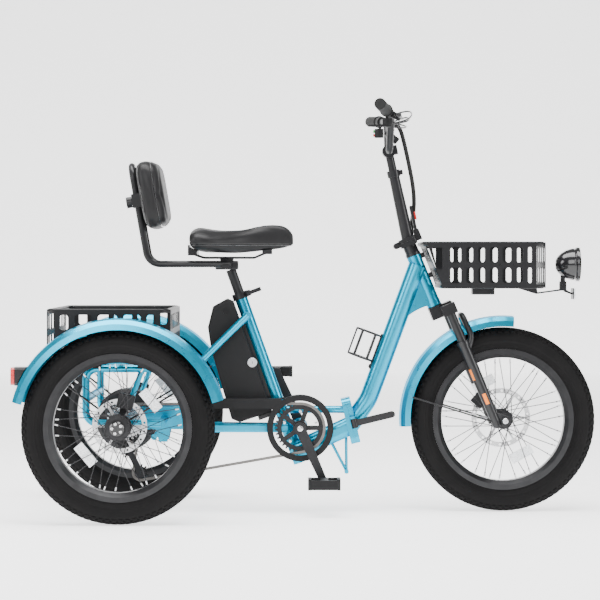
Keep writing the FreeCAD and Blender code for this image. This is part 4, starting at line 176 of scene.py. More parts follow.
class Finish:
    """A material with one surface shader, built node by node."""

    made = {}

    def __init__(self, name, **sockets):
        self.material = bpy.data.materials.new(name)
        self.material.use_nodes = True
        self.tree = self.material.node_tree
        self.surface = self.tree.nodes["Principled BSDF"]
        self.objects = Wire(self, self.add("ShaderNodeTexCoord").outputs["Object"])
        for key, value in sockets.items():
            self.put(key.replace("_", " ").title().replace("Ior", "IOR"), value)
        Finish.made[name] = self.material

    def add(self, kind, settings=None, values=None):
        node = self.tree.nodes.new(kind)
        for key, value in (settings or {}).items():
            if key == "stops":
                ramp = node.color_ramp
                while len(ramp.elements) < len(value):
                    ramp.elements.new(0.5)
                for element, (where, colour) in zip(ramp.elements, value):
                    element.position = where
                    element.color = colour
            else:
                setattr(node, key, value)
        for key, value in (values or {}).items():
            socket = node.inputs[key]
            if isinstance(value, Wire):
                self.tree.links.new(value.socket, socket)
            else:
                socket.default_value = value
        return node

    def put(self, name, value):
        socket = self.surface.inputs[name]
        if isinstance(value, Wire):
            self.tree.links.new(value.socket, socket)
        elif hasattr(value, "__len__") and len(value) == 3 and len(socket.default_value) == 4:
            socket.default_value = (*value, 1.0)
        else:
            socket.default_value = value

    def noise(self, scale, detail=2.0, stretch=(1, 1, 1)):
        place = self.add("ShaderNodeMapping", None, {"Vector": self.objects, "Scale": stretch})
        node = self.add("ShaderNodeTexNoise", None,
                        {"Vector": Wire(self, place.outputs[0]), "Scale": scale, "Detail": detail})
        return Wire(self, node.outputs["Fac"])

    def cells(self, scale, feature="F1"):
        node = self.add("ShaderNodeTexVoronoi", {"feature": feature}, {"Vector": self.objects, "Scale": scale})
        return Wire(self, node.outputs["Distance"])

    def mix(self, a, b, factor):
        def colour(c):
            return c if isinstance(c, Wire) else (*c, 1.0)
        node = self.add("ShaderNodeMix", {"data_type": "RGBA"}, {0: factor, 6: colour(a), 7: colour(b)})
        return Wire(self, node.outputs[2])

    def bump(self, height, strength, distance=0.001):
        node = self.add("ShaderNodeBump", None, {"Height": height, "Strength": strength, "Distance": distance})
        self.put("Normal", Wire(self, node.outputs[0]))

    def parts(self):
        """Object coordinates as three numbers."""
        node = self.add("ShaderNodeSeparateXYZ", None, {"Vector": self.objects})
        return [Wire(self, o) for o in node.outputs]

    def along(self, origin, axis):
        """Distance along an axis from a point."""
        shifted = self.add("ShaderNodeVectorMath", {"operation": "SUBTRACT"}, {0: self.objects, 1: tuple(origin)})
        node = self.add("ShaderNodeVectorMath", {"operation": "DOT_PRODUCT"},
                        {0: Wire(self, shifted.outputs[0]), 1: tuple(axis)})
        return Wire(self, node.outputs["Value"])

    def radius(self, centre):
        """Distance from an axle that runs along Y."""
        place = self.add("ShaderNodeVectorMath", {"operation": "SUBTRACT"}, {0: self.objects, 1: tuple(centre)})
        flat = self.add("ShaderNodeVectorMath", {"operation": "MULTIPLY"},
                        {0: Wire(self, place.outputs[0]), 1: (1.0, 0.0, 1.0)})
        node = self.add("ShaderNodeVectorMath", {"operation": "LENGTH"}, {0: Wire(self, flat.outputs[0])})
        return Wire(self, node.outputs["Value"])


def metallic_paint(colours):
    f = Finish("turquoise_paint", metallic=0.85, coat_weight=0.12, coat_roughness=0.05,
               specular_tint=(0.35, 0.80, 1.0))
    flakes = f.cells(2600.0)
    cloud = f.noise(9.0, 3.0)
    f.put("Base Color", f.mix(tuple(colours.paint), tuple(colours.paint_flake), flakes * 0.7 + cloud * 0.35 - 0.05))
    f.put("Roughness", f.noise(60.0, 4.0) * 0.10 + 0.24)
    f.bump(f.noise(420.0, 2.0), 0.05, 0.0004)


def coated(name, colour, worn, low, high, grain, depth, metallic=0.0, coat=0.0, stretch=(1, 1, 1)):
    """A coat or moulding with a fine grain, whose gloss and tone vary a little."""
    f = Finish(name, metallic=metallic, coat_weight=coat, coat_roughness=0.12, specular_ior_level=0.16)
    cloud = f.noise(14.0, 4.0)
    fine = f.noise(grain, 3.0, stretch)
    f.put("Base Color", f.mix(colour, worn, cloud * 0.6 + fine * 0.35))
    f.put("Roughness", fine * (high - low) * 0.6 + cloud * (high - low) * 0.6 + low)
    f.bump(fine, depth, 0.0005)
    return f


def tyre_rubber():
    f = Finish("tyre_rubber", specular_ior_level=0.10)
    dust = f.noise(22.0, 5.0)
    f.put("Base Color", f.mix((0.0025, 0.0025, 0.0028), (0.0085, 0.008, 0.008), dust))
    f.put("Roughness", dust * 0.2 + 0.56)
    f.bump(f.noise(700.0, 2.0) * 0.6 + f.noise(160.0, 3.0) * 0.4, 0.16, 0.0006)


def seat_cover(colours):
    f = Finish("seat_cover", coat_weight=0.05, coat_roughness=0.25, specular_ior_level=0.16)
    pores = f.cells(950.0, "SMOOTH_F1")
    folds = f.noise(70.0, 4.0)
    f.put("Base Color", f.mix(tuple(colours.cover), (0.012, 0.0115, 0.0115), folds * 0.5 + pores * 0.3))
    f.put("Roughness", folds * 0.14 + pores * 0.1 + 0.34)
    f.bump(pores * 0.7 + folds * 0.5, 0.22, 0.0006)


def spoke_finish(name, centre):
    """Black spokes with bright nipples next to the rim."""
    f = Finish(name)
    nipple = f.radius(centre).over(0.173)
    grit = f.noise(500.0, 2.0)
    f.put("Base Color", f.mix((0.020, 0.020, 0.022), (0.74, 0.74, 0.75), nipple))
    f.put("Metallic", nipple * 0.45 + 0.5)
    f.put("Roughness", grit * 0.12 + 0.24)


def rim_finish(name, centre):
    """Black rim, a little uneven in tone, with a fine turned grain."""
    f = Finish(name, metallic=0.55)
    r = f.radius(centre)
    rings = (r * 9000.0).maths("SINE")
    f.put("Base Color", f.mix((0.010, 0.010, 0.011), (0.030, 0.030, 0.032), f.noise(30.0, 3.0)))
    f.put("Roughness", f.noise(45.0, 3.0) * 0.14 + 0.24)
    f.bump(rings, 0.03, 0.0003)


def brake_disc(name, centre):
    f = Finish(name, metallic=1.0)
    r = f.radius(centre)
    rings = (r * 5200.0).maths("SINE")
    swept = r.over(0.062)
    f.put("Base Color", f.mix((0.42, 0.42, 0.43), (0.66, 0.66, 0.67), swept))
    f.put("Roughness", rings * 0.05 + f.noise(90.0, 3.0) * 0.15 + 0.25)
    f.bump(rings, 0.08, 0.0003)


def fork_finish(colours):
    """Satin black legs with two short accent bars on each."""
    f = Finish("fork_black", coat_weight=0.25, coat_roughness=0.15, specular_ior_level=0.25)
    down = f.along(HEAD, HEAD_AXIS)
    across = f.along(HEAD, (HEAD_AXIS.z, 0, -HEAD_AXIS.x))
    upper = down.over(-0.250) * down.under(-0.215) * across.over(0.0164) * across.under(0.0224)
    lower = down.over(-0.331) * down.under(-0.297) * across.over(0.0241) * across.under(0.0351)
    side = f.parts()[1].maths("ABSOLUTE").over(0.075)
    f.put("Base Color", f.mix(tuple(colours.black), tuple(colours.accent), (upper + lower) * side))
    f.put("Roughness", f.noise(120.0, 3.0) * 0.14 + 0.28)
    f.bump(f.noise(900.0, 2.0), 0.05, 0.0004)


def lens(name, colour, rough, scale):
    """Moulded lens with small prisms behind a smooth face."""
    f = Finish(name, coat_weight=1.0, coat_roughness=0.03)
    prisms = f.cells(scale, "F1")
    f.put("Base Color", f.mix(colour, tuple(min(1.0, c * 2.2 + 0.02) for c in colour), prisms * 1.6))
    f.put("Roughness", prisms * 0.12 + rough)
    f.bump(prisms, 0.5, 0.0008)


def clear_cover():
    f = Finish("clear_cover", transmission_weight=0.93, ior=1.46, alpha=1.0)
    f.put("Base Color", (0.93, 0.95, 0.96))
    f.put("Roughness", f.noise(160.0, 3.0) * 0.03 + 0.015)


def screen():
    f = Finish("display_screen", coat_weight=1.0, coat_roughness=0.02)
    x, y, z = f.parts()
    rows = (z * 900.0 + x * 900.0).maths("SINE").over(0.72) * y.maths("ABSOLUTE").under(0.018)
    f.put("Base Color", f.mix((0.004, 0.006, 0.008), (0.05, 0.16, 0.18), rows * f.noise(200.0, 1.0)))
    f.put("Roughness", f.noise(30.0, 3.0) * 0.06 + 0.08)


def floor_finish():
    """Pale floor that gives back a little light of its own."""
    f = Finish("floor", emission_color=(1.0, 1.0, 1.0), emission_strength=1.5)
    f.put("Base Color", f.mix((0.84, 0.84, 0.84), (0.88, 0.88, 0.88), f.noise(3.0, 2.0)))
    f.put("Roughness", f.noise(8.0, 2.0) * 0.1 + 0.75)
    return f.material


def make_finishes(colours):
    black = tuple(colours.black)
    metallic_paint(colours)
    coated("black_metal", black, (0.015, 0.015, 0.016), 0.24, 0.40, 900.0, 0.07, coat=0.2)
    coated("basket_black", black, (0.010, 0.010, 0.011), 0.34, 0.48, 1300.0, 0.12, coat=0.08)
    coated("black_alloy", (0.016, 0.016, 0.017), (0.036, 0.036, 0.038), 0.34, 0.52, 700.0, 0.20, metallic=0.4)
    coated("black_plastic", (0.006, 0.006, 0.0065), (0.014, 0.014, 0.0145), 0.42, 0.58, 1500.0, 0.28)
    coated("gloss_plastic", (0.006, 0.006, 0.007), (0.014, 0.014, 0.015), 0.10, 0.20, 300.0, 0.03, coat=0.8)
    coated("soft_rubber", (0.009, 0.009, 0.009), (0.020, 0.020, 0.020), 0.58, 0.78, 900.0, 0.30)
    coated("bright_steel", (0.52, 0.52, 0.53), (0.72, 0.72, 0.73), 0.16, 0.32, 600.0, 0.06, metallic=1.0,
           stretch=(1, 6, 1))
    coated("chain_steel", (0.09, 0.085, 0.08), (0.24, 0.23, 0.22), 0.28, 0.46, 420.0, 0.12, metallic=0.9)
    coated("cast_alloy", (0.50, 0.50, 0.51), (0.64, 0.64, 0.65), 0.34, 0.5, 500.0, 0.12, metallic=0.9)
    coated("thread_black", (0.035, 0.035, 0.036), (0.07, 0.07, 0.07), 0.6, 0.8, 2400.0, 0.4)
    coated("red_plastic", (0.40, 0.006, 0.005), (0.56, 0.02, 0.012), 0.22, 0.34, 700.0, 0.08, coat=0.4)
    coated("green_plastic", (0.01, 0.22, 0.03), (0.02, 0.32, 0.05), 0.26, 0.38, 700.0, 0.08, coat=0.3)
    coated("lamp_mirror", (0.80, 0.80, 0.81), (0.92, 0.92, 0.92), 0.05, 0.12, 260.0, 0.10, metallic=1.0)
    coated("lamp_diode", (0.75, 0.70, 0.30), (0.90, 0.86, 0.55), 0.30, 0.42, 900.0, 0.10)
    tyre_rubber()
    seat_cover(colours)
    fork_finish(colours)
    lens("red_lens", (0.30, 0.004, 0.004), 0.10, 240.0)
    lens("white_reflector", (0.42, 0.43, 0.44), 0.14, 300.0)
    clear_cover()
    screen()
    for name, centre, _ in WHEELS:
        spoke_finish(name.replace("tyre", "spokes"), centre)
        rim_finish(name.replace("tyre", "rim"), centre)
        brake_disc(name.replace("tyre", "disc"), centre)


# ------------------------------------------------------------ helpers
def clear_selection():
    if bpy.context.object and bpy.context.object.mode != "OBJECT":
        bpy.ops.object.mode_set(mode="OBJECT")
    bpy.ops.object.select_all(action="DESELECT")


def choose(obj):
    clear_selection()
    obj.select_set(True)
    bpy.context.view_layer.objects.active = obj


def start(kind, name, **settings):
    """A new primitive, alone in the selection."""
    clear_selection()
    getattr(bpy.ops.mesh, f"primitive_{kind}_add")(**settings)
    obj = bpy.context.object
    obj.name = name
    bpy.ops.object.transform_apply(location=True, rotation=True, scale=True)
    return obj


def edit(obj):
    choose(obj)
    bpy.ops.object.mode_set(mode="EDIT")


def done(obj):
    bpy.ops.object.mode_set(mode="OBJECT")
    return obj


def pick_faces(obj, test):
    """Selects the faces whose centre and normal pass the test, in edit mode."""
    bpy.ops.mesh.select_mode(type="FACE")
    bpy.ops.mesh.select_all(action="DESELECT")
    mesh = bmesh.from_edit_mesh(obj.data)
    for face in mesh.faces:
        if test(face.calc_center_median(), face.normal):
            face.select = True
    mesh.select_flush(True)
    bmesh.update_edit_mesh(obj.data)


def add_modifier(obj, kind, **settings):
    modifier = obj.modifiers.new(kind.lower(), kind)
    for key, value in settings.items():
        setattr(modifier, key, value)
    choose(obj)
    bpy.ops.object.modifier_apply(modifier=modifier.name)


def smooth(obj, angle=35.0):
    choose(obj)
    bpy.ops.object.shade_smooth_by_angle(angle=math.radians(angle))


def dress(obj, material, body, slot=None):
    obj.data.materials.clear()
    obj.data.materials.append(Finish.made[material])
    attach(obj, body)
    if slot:
        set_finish(obj, slot)
    return obj


def join(name, pieces):
    clear_selection()
    for piece in pieces:
        piece.select_set(True)
    bpy.context.view_layer.objects.active = pieces[0]
    bpy.ops.object.join()
    pieces[0].name = name
    pieces[0].data.name = name
    return pieces[0]


def copied(source, matrix):
    """A copy with its own mesh, moved by a matrix."""
    obj = source.copy()
    obj.data = source.data.copy()
    obj.data.transform(matrix)
    bpy.context.scene.collection.objects.link(obj)
    return obj


def turned(name, profile, centre, axis, steps):
    """A closed outline of (radius, along) points, spun round an axis through centre."""
    axis = Vector(axis).normalized()
    out = axis.orthogonal().normalized()
    points = [centre + out * r + axis * a for r, a in profile]
    mesh = bpy.data.meshes.new(name)
    edges = [(i, (i + 1) % len(points)) for i in range(len(points))]
    mesh.from_pydata(points, edges, [])
    obj = bpy.data.objects.new(name, mesh)
    bpy.context.scene.collection.objects.link(obj)
    edit(obj)
    bpy.ops.mesh.select_all(action="SELECT")
    bpy.ops.mesh.spin(steps=steps, angle=2 * math.pi, center=centre, axis=axis)
    bpy.ops.mesh.select_all(action="SELECT")
    bpy.ops.mesh.remove_doubles(threshold=0.00002)
    bpy.ops.mesh.normals_make_consistent(inside=False)
    return done(obj)


def facing(place, direction):
    """Puts +Z of a piece made at the origin along a direction, at a place."""
    turn = Vector(direction).to_track_quat("Z", "Y").to_matrix().to_4x4()
    return Matrix.Translation(Vector(place)) @ turn


def merged_copy(node, name):
    """A CAD node's mesh as a new object, with its loose triangles merged."""
    obj = bpy.data.objects.new(name, NODES[node].data.copy())
    bpy.context.scene.collection.objects.link(obj)
    edit(obj)
    bpy.ops.mesh.select_all(action="SELECT")
    bpy.ops.mesh.remove_doubles(threshold=0.00002)
    return done(obj)


# ------------------------------------------------------------ finishes on the frame
def finish_node(node, base, *spots):
    """Gives a CAD node a finish, and other finishes to faces picked by their centre."""
    mesh = NODES[node].data
    mesh.materials.clear()
    for name in [base] + [s[1] for s in spots]:
        mesh.materials.append(Finish.made[name])
    if spots:
        for face in mesh.polygons:
            found = [i for i, s in enumerate(spots, 1) if s[0](face.center, face.normal)]
            face.material_index = found[0] if found else 0


def from_seat_axis(p):
    base = NODES_SEAT
    d = p - base
    return (d - SEAT_AXIS * d.dot(SEAT_AXIS)).length


NODES_SEAT = Vector((-0.066588, 0.0, 0.243558))


def flat_radius(p, centre):
    return math.hypot(p.x - centre.x, p.z - centre.z)


def on_reflector(p, centre, degrees):
    a = math.degrees(math.atan2(p.z - centre.z, p.x - centre.x))
    near = any(abs((a - d + 180) % 360 - 180) < 19 for d in degrees)
    return near and abs(p.y - centre.y) < 0.0052 and 0.080 < flat_radius(p, centre) < 0.164


class TRIKE_OT_finishes(bpy.types.Operator):
    """Makes every finish and gives it to the parts of the frame"""
    bl_idname = "trike.finishes"
    bl_label = "Finishes"

    def execute(self, context):
        make_finishes(context.scene.trike_colours)
        for node in ("main_tube", "rear_frame", "rear_hinge_half", "front_hinge_half", "head_tube", "down_tube"):
            finish_node(node, "turquoise_paint")
        finish_node("seat_tube", "turquoise_paint", (lambda p, n: from_seat_axis(p) > 0.0196, "black_metal"))
        for side in ("left", "right"):
            finish_node(f"rear_fender_{side}", "turquoise_paint",
                        (lambda p, n: flat_radius(p, REAR_AXLE) < 0.2805, "black_metal"))
        finish_node("front_fender", "turquoise_paint",
                    (lambda p, n: flat_radius(p, FRONT_AXLE) < 0.2805, "black_metal"))
        finish_node("fork_lowers", "fork_black", (lambda p, n: 0.039 < p.y < 0.0602, "black_alloy"))
        for node in ("fork_crown", "post_base", "handle_post", "handlebar", "backrest_tube", "backrest_bracket",
                     "headlight_bracket", "frame_latch", "bottle_cage", "brake_lever_left", "brake_lever_right"):
            finish_node(node, "black_metal")
        finish_node("headlight_bracket", "black_metal",
                    (lambda p, n: p.x > 0.7995 and p.z < 0.676, "white_reflector"))
        finish_node("seat_post", "black_metal", (lambda p, n: p.z > 0.7700 and n.z > -2, "black_metal"))
        finish_node("seat_lever", "black_metal")
        finish_node("post_latch", "black_metal",
                    (lambda p, n: 0.3135 < p.x < 0.3245 and abs(p.y) < 0.0062 and 0.884 < p.z < 0.910, "red_plastic"))
        for node in ("rear_basket", "rear_basket_floor", "front_basket"):
            finish_node(node, "basket_black")
        for node in ("motor_housing", "rear_calipers", "derailleur", "crankset"):
            finish_node(node, "black_alloy")
        finish_node("crankset", "black_alloy", (lambda p, n: abs(p.y) > 0.0975, "bright_steel"))
        for node in ("chain_guard", "pedal_left", "pedal_right", "battery", "shift_lever", "guide_pulley",
                     "tension_pulley"):
            finish_node(node, "black_plastic")
        finish_node("grips", "soft_rubber")
        finish_node("chain", "chain_steel")
        finish_node("cassette", "bright_steel")
        finish_node("tail_lamps", "gloss_plastic", (lambda p, n: p.x < -0.8528, "red_lens"))
        finish_node("bar_controls", "black_plastic",
                    (lambda p, n: abs(p.y) < 0.026 and p.z > 1.113 and n.dot(POST_AXIS) > 0.9, "display_screen"),
                    (lambda p, n: p.x < 0.2055 and p.y > 0.235 and p.z > 1.163, "green_plastic"),
                    (lambda p, n: p.x < 0.2055 and p.y > 0.235 and p.z < 1.163, "red_plastic"))
        finish_node("front_hub", "black_alloy",
                    (lambda p, n: 0.0488 < p.y < 0.0512 and flat_radius(p, FRONT_AXLE) > 0.031, "front_disc"))
        finish_node("front_rim", "front_rim")
        finish_node("front_spokes", "front_spokes",
                    (lambda p, n: on_reflector(p, FRONT_AXLE, (118, -62)), "white_reflector"))
        for name, centre, _ in WHEELS[1:]:
            side = name.split("_")[-1]
            finish_node(f"rear_hub_{side}", "black_alloy",
                        (lambda p, n: 0.2918 < abs(p.y) < 0.2942 and flat_radius(p, REAR_AXLE) > 0.038,
                         f"rear_disc_{side}"),
                        (lambda p, n: abs(p.y) > 0.3822, "gloss_plastic"))
            finish_node(f"rear_rim_{side}", f"rear_rim_{side}")
            finish_node(f"rear_spokes_{side}", f"rear_spokes_{side}",
                        (lambda p, n, c=centre: on_reflector(p, c, (40, -140)), "white_reflector"))
        for node in NODES:
            smooth_node(node)
        return {"FINISHED"}


def smooth_node(node):
    """CAD meshes keep the shading that they were packed with."""
    NODES[node]["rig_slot"] = slot_of(node)


def slot_of(node):
    return next(s["material_slot"] for s in frame["record"]["subparts"] if s["node"] == node)


# ------------------------------------------------------------ tyres
TYRE_OUTLINE = [
    (0.2060, 0.0240), (0.2110, 0.0245), (0.2155, 0.0252), (0.2165, 0.0266), (0.2200, 0.0272), (0.2212, 0.0292),
    (0.2290, 0.0334), (0.2300, 0.0345), (0.2312, 0.0344), (0.2380, 0.0369), (0.2390, 0.0376), (0.2402, 0.0374),
    (0.2450, 0.0376), (0.2510, 0.0370), (0.2560, 0.0355), (0.2610, 0.0327), (0.2655, 0.0287), (0.2695, 0.0236),
    (0.2727, 0.0176), (0.2750, 0.0112), (0.2762, 0.0050),
]


def tyre_profile():
    outer = TYRE_OUTLINE + [(r, -y) for r, y in reversed(TYRE_OUTLINE)]
    inner = [(0.2060, -0.0200), (0.2200, -0.0215), (0.2450, -0.0325), (0.2620, -0.0240), (0.2710, -0.0080),
             (0.2710, 0.0080), (0.2620, 0.0240), (0.2450, 0.0325), (0.2200, 0.0215), (0.2060, 0.0200)]
    return outer + inner


def tread_block(name, length, width, height, radius, across, tilt, shift):
    """One block standing on the crown, across metres from its middle."""
    block = start("cube", name, size=1.0, scale=(length, width, height + 0.004))
    edit(block)
    pick_faces(block, lambda p, n: n.z > 0.5)
    bpy.ops.mesh.inset(thickness=min(length, width) * 0.11, depth=0.0)
    bpy.ops.transform.translate(value=(0, 0, 0.0006))
    done(block)
    block.data.transform(Matrix.Translation((0, 0, height / 2 - 0.002)))
    lean = Matrix.Rotation(tilt, 4, "X")
    place = Matrix.Translation((0, across, radius))
    block.data.transform(Matrix.Rotation(shift, 4, "Y") @ place @ lean)
    return block


def tread_ring(settings):
    """All blocks of one tyre round the origin, from one pitch copied round."""
    pitch = 2 * math.pi / settings.pitches
    h = settings.block
    rows = [
        (0.0, 0.2762, 0.0, 0.0), (0.0112, 0.2752, -0.32, 0.5), (-0.0112, 0.2752, 0.32, 0.5),
        (0.0212, 0.2712, -0.78, 0.0), (-0.0212, 0.2712, 0.78, 0.0), (0.0292, 0.2650, -1.05, 0.5),
        (-0.0292, 0.2650, 1.05, 0.5),
    ]
    blocks = []
    for i, (across, radius, tilt, step) in enumerate(rows):
        length = 0.0155 if abs(across) < 0.02 else 0.0125
        blocks.append(tread_block(f"block_{i}", length, 0.0078, h, radius, across, tilt, step * pitch))
    one = join("tread_pitch", blocks)
    ring = [one]
    for i in range(1, settings.pitches):
        ring.append(copied(one, Matrix.Rotation(i * pitch, 4, "Y")))
    return join("tread_ring", ring)


class TRIKE_OT_tyres(bpy.types.Operator):
    """Three fat tyres with ribbed sidewalls and a block tread"""
    bl_idname = "trike.tyres"
    bl_label = "Tyres"

    def execute(self, context):
        settings = context.scene.trike_tyres
        carcass = turned("carcass", tyre_profile(), Vector((0, 0, 0)), (0, 1, 0), 144)
        tread = tread_ring(settings)
        master = join("tyre_master", [carcass, tread])
        smooth(master, 32)
        for name, centre, body in WHEELS:
            tyre = copied(master, Matrix.Translation(centre))
            tyre.name = name + "_tread"
            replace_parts(dress(tyre, "tyre_rubber", body, slot_of(name)), name)
        bpy.data.objects.remove(master)
        return {"FINISHED"}


# ------------------------------------------------------------ soft covers
def fill(obj, settings, shrink):
    """Remeshes a cover, fills it by pressure, and keeps each point near where it began."""
    add_modifier(obj, "REMESH", mode="VOXEL", voxel_size=settings.voxel, use_smooth_shade=True)
    mesh = obj.data
    first = [v.co - v.normal * shrink for v in mesh.vertices]
    for v, p in zip(mesh.vertices, first):
        v.co = p
    cloth = obj.modifiers.new("fill", "CLOTH")
    cloth.settings.quality = 4
    cloth.settings.mass = 0.3
    cloth.settings.tension_stiffness = 20
    cloth.settings.compression_stiffness = 20
    cloth.settings.bending_stiffness = 3
    cloth.settings.use_pressure = True
    cloth.settings.uniform_pressure_force = settings.pressure
    cloth.settings.effector_weights.gravity = 0
    cloth.point_cache.frame_start = 1
    cloth.point_cache.frame_end = 20
    for number in range(1, 21):
        bpy.context.scene.frame_set(number)
    evaluated = obj.evaluated_get(bpy.context.evaluated_depsgraph_get())
    moved = [v.co.copy() for v in evaluated.data.vertices]
    obj.modifiers.remove(cloth)
    for v, a, b in zip(mesh.vertices, first, moved):
        step = b - a
        v.co = a + step * min(1.0, settings.swell / max(step.length, 1e-9))
    add_modifier(obj, "SMOOTH", factor=0.5, iterations=4)
    bpy.context.scene.frame_set(1)


def tube_along(name, points, radius, closed, material, body):
    """A thin round piping or thread along points, as a mesh."""
    curve = bpy.data.curves.new(name, "CURVE")
    curve.dimensions = "3D"
    curve.bevel_depth = radius
    curve.bevel_resolution = 2
    curve.resolution_u = 4
    curve.use_fill_caps = True
    spline = curve.splines.new("NURBS")
    spline.points.add(len(points) - 1)
    for target, p in zip(spline.points, points):
        target.co = (*p, 1.0)
    spline.order_u = 3
    spline.use_cyclic_u = closed
    spline.use_endpoint_u = not closed
    obj = bpy.data.objects.new(name, curve)
    bpy.context.scene.collection.objects.link(obj)
    choose(obj)
    bpy.ops.object.convert(target="MESH")
    obj = bpy.context.object
    obj.name = name
    return dress(obj, material, body)


def on_surface(obj, origin, direction):
    """Where a ray meets a piece, or None."""
    hit, place, normal, _ = obj.ray_cast(origin, direction)
    return (place, normal) if hit else None


def seam_round(obj, centre, axis, up, level, count, lift):
    """Points round a cover where a plane across the axis meets it, seen from the middle."""
    axis, up = Vector(axis).normalized(), Vector(up).normalized()
    side = axis.cross(up)
    middle = Vector(centre) + axis * level
    points = []
    for i in range(count):
        a = 2 * math.pi * i / count
        way = up * math.cos(a) + side * math.sin(a)
        far = middle + way * 0.6
        found = on_surface(obj, far, -way)
        if found:
            points.append(found[0] + found[1] * lift)
    return points


class TRIKE_OT_saddle(bpy.types.Operator):
    """Padded saddle with a sewn edge, a sunk middle channel and its shell"""
    bl_idname = "trike.saddle"
    bl_label = "Saddle"

    def execute(self, context):
        settings = context.scene.trike_seat
        low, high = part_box("saddle")
        obj = merged_copy("saddle", "saddle_cover")
        fill(obj, settings, 0.003)
        nose = high.x
        for v in obj.data.vertices:
            t = (nose - v.co.x) / (high.x - low.x)
            top = max(0.0, (v.co.z - (low.z + 0.030)) / 0.035)
            wide = 0.016 + 0.014 * t
            channel = math.exp(-((v.co.y / wide) ** 2)) * min(1.0, top) * max(0.0, min(1.0, (t - 0.10) * 6))
            fade = max(0.0, min(1.0, (0.97 - t) * 8))
            v.co.z -= 0.0065 * channel * fade
            groove = math.exp(-(((v.co.z - (low.z + 0.014 + 0.008 * t)) / 0.0022) ** 2))
            out = Vector((0, v.co.y, 0)).normalized() if abs(v.co.y) > 0.004 else Vector((0, 0, 0))
            v.co -= out * 0.0016 * groove
        add_modifier(obj, "SUBSURF", levels=1, render_levels=1)
        smooth(obj, 180)
        dress(obj, "seat_cover", "seat", slot_of("saddle"))
        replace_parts(obj, "saddle")
        middle = Vector(((low.x + high.x) / 2, 0, low.z))
        seam = seam_round(obj, middle, (0, 0, 1), (1, 0, 0), 0.0215, 120, 0.0002)
        tube_along("saddle_edge", seam, 0.0017, True, "gloss_plastic", "seat")
        stitches = seam_round(obj, middle, (0, 0, 1), (1, 0, 0), 0.0262, 160, 0.0001)
        tube_along("saddle_thread", stitches, 0.0006, True, "thread_black", "seat")
        return {"FINISHED"}


class TRIKE_OT_backrest(bpy.types.Operator):
    """Backrest cushion with piping at its front and back edges and a sewn front panel"""
    bl_idname = "trike.backrest"
    bl_label = "Backrest cushion"

    def execute(self, context):
        settings = context.scene.trike_seat
        low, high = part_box("backrest_pad")
        obj = merged_copy("backrest_pad", "backrest_cushion")
        fill(obj, settings, 0.003)
        centre = (low + high) / 2
        forward = Vector((BACK_AXIS.z, 0, -BACK_AXIS.x)).normalized()
        if forward.x < 0:
            forward.negate()
        for v in obj.data.vertices:
            d = v.co - centre
            ahead, up, side = d.dot(forward), d.dot(BACK_AXIS), d.y
            edge = (abs(up) / 0.108) ** 4 + (abs(side) / 0.150) ** 4
            if ahead > 0.012:
                v.co += forward * 0.003 * max(0.0, 1 - edge)
                ring = math.exp(-(((edge - 0.42) / 0.05) ** 2))
                v.co -= forward * 0.0022 * ring
            for level in (-0.026, 0.014):
                pinch = math.exp(-(((ahead - level) / 0.0024) ** 2))
                away = Vector((0, side, 0)) + BACK_AXIS * up
                v.co -= away.normalized() * 0.0016 * pinch
        add_modifier(obj, "SUBSURF", levels=1, render_levels=1)
        smooth(obj, 180)
        dress(obj, "seat_cover", "backrest", slot_of("backrest_pad"))
        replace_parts(obj, "backrest_pad")
        for i, level in enumerate((-0.026, 0.014)):
            line = seam_round(obj, centre, forward, BACK_AXIS, level, 120, 0.0004)
            tube_along(f"cushion_piping_{i}", line, 0.0017, True, "gloss_plastic", "backrest")
        return {"FINISHED"}


# ------------------------------------------------------------ cables
def cord_curve(name, points, diameter, body, material, replaces=None):
    curve = bpy.data.curves.new(name, "CURVE")
    curve.dimensions = "3D"
    curve.bevel_depth = diameter / 2
    curve.bevel_resolution = 4
    curve.use_fill_caps = True
    spline = curve.splines.new("NURBS")
    spline.points.add(len(points) - 1)
    for target, p in zip(spline.points, points):
        target.co = (*p, 1.0)
    spline.order_u = 3
    spline.use_endpoint_u = True
    curve.resolution_u = 10
    obj = bpy.data.objects.new(name, curve)
    bpy.context.scene.collection.objects.link(obj)
    dress(obj, material, body)
    if replaces:
        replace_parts(obj, replaces)
    return obj


def spline_length(points):
    """Length of the smooth line that control points give."""
    curve = bpy.data.curves.new("measure", "CURVE")
    curve.dimensions = "3D"
    curve.resolution_u = 12
    spline = curve.splines.new("NURBS")
    spline.points.add(len(points) - 1)
    for target, p in zip(spline.points, points):
        target.co = (*p, 1.0)
    spline.order_u = 3
    spline.use_endpoint_u = True
    obj = bpy.data.objects.new("measure", curve)
    bpy.context.scene.collection.objects.link(obj)
    mesh = bpy.data.meshes.new_from_object(obj.evaluated_get(bpy.context.evaluated_depsgraph_get()))
    total = sum((mesh.vertices[e.vertices[0]].co - mesh.vertices[e.vertices[1]].co).length for e in mesh.edges)
    line = [v.co.copy() for v in mesh.vertices]
    bpy.data.objects.remove(obj)
    return total, line


def bundle_points():
    head_x = Vector((HEAD_AXIS.z, 0, -HEAD_AXIS.x))
    mid = POST_PIN + POST_AXIS * 0.280

    def on_head(x, y, z):
        return HEAD + head_x * x + Vector((0, y, 0)) + HEAD_AXIS * z

    return [
        mid + Vector((0.040, -0.006, 0.096)), mid + Vector((0.066, 0, 0.110)), mid + Vector((0.092, 0.004, 0.010)),
        mid + Vector((0.120, 0.020, -0.130)), on_head(0.024, 0.044, 0.2416), on_head(-0.006, 0.044, 0.1446),
        on_head(-0.040, 0.036, 0.0846),
    ]


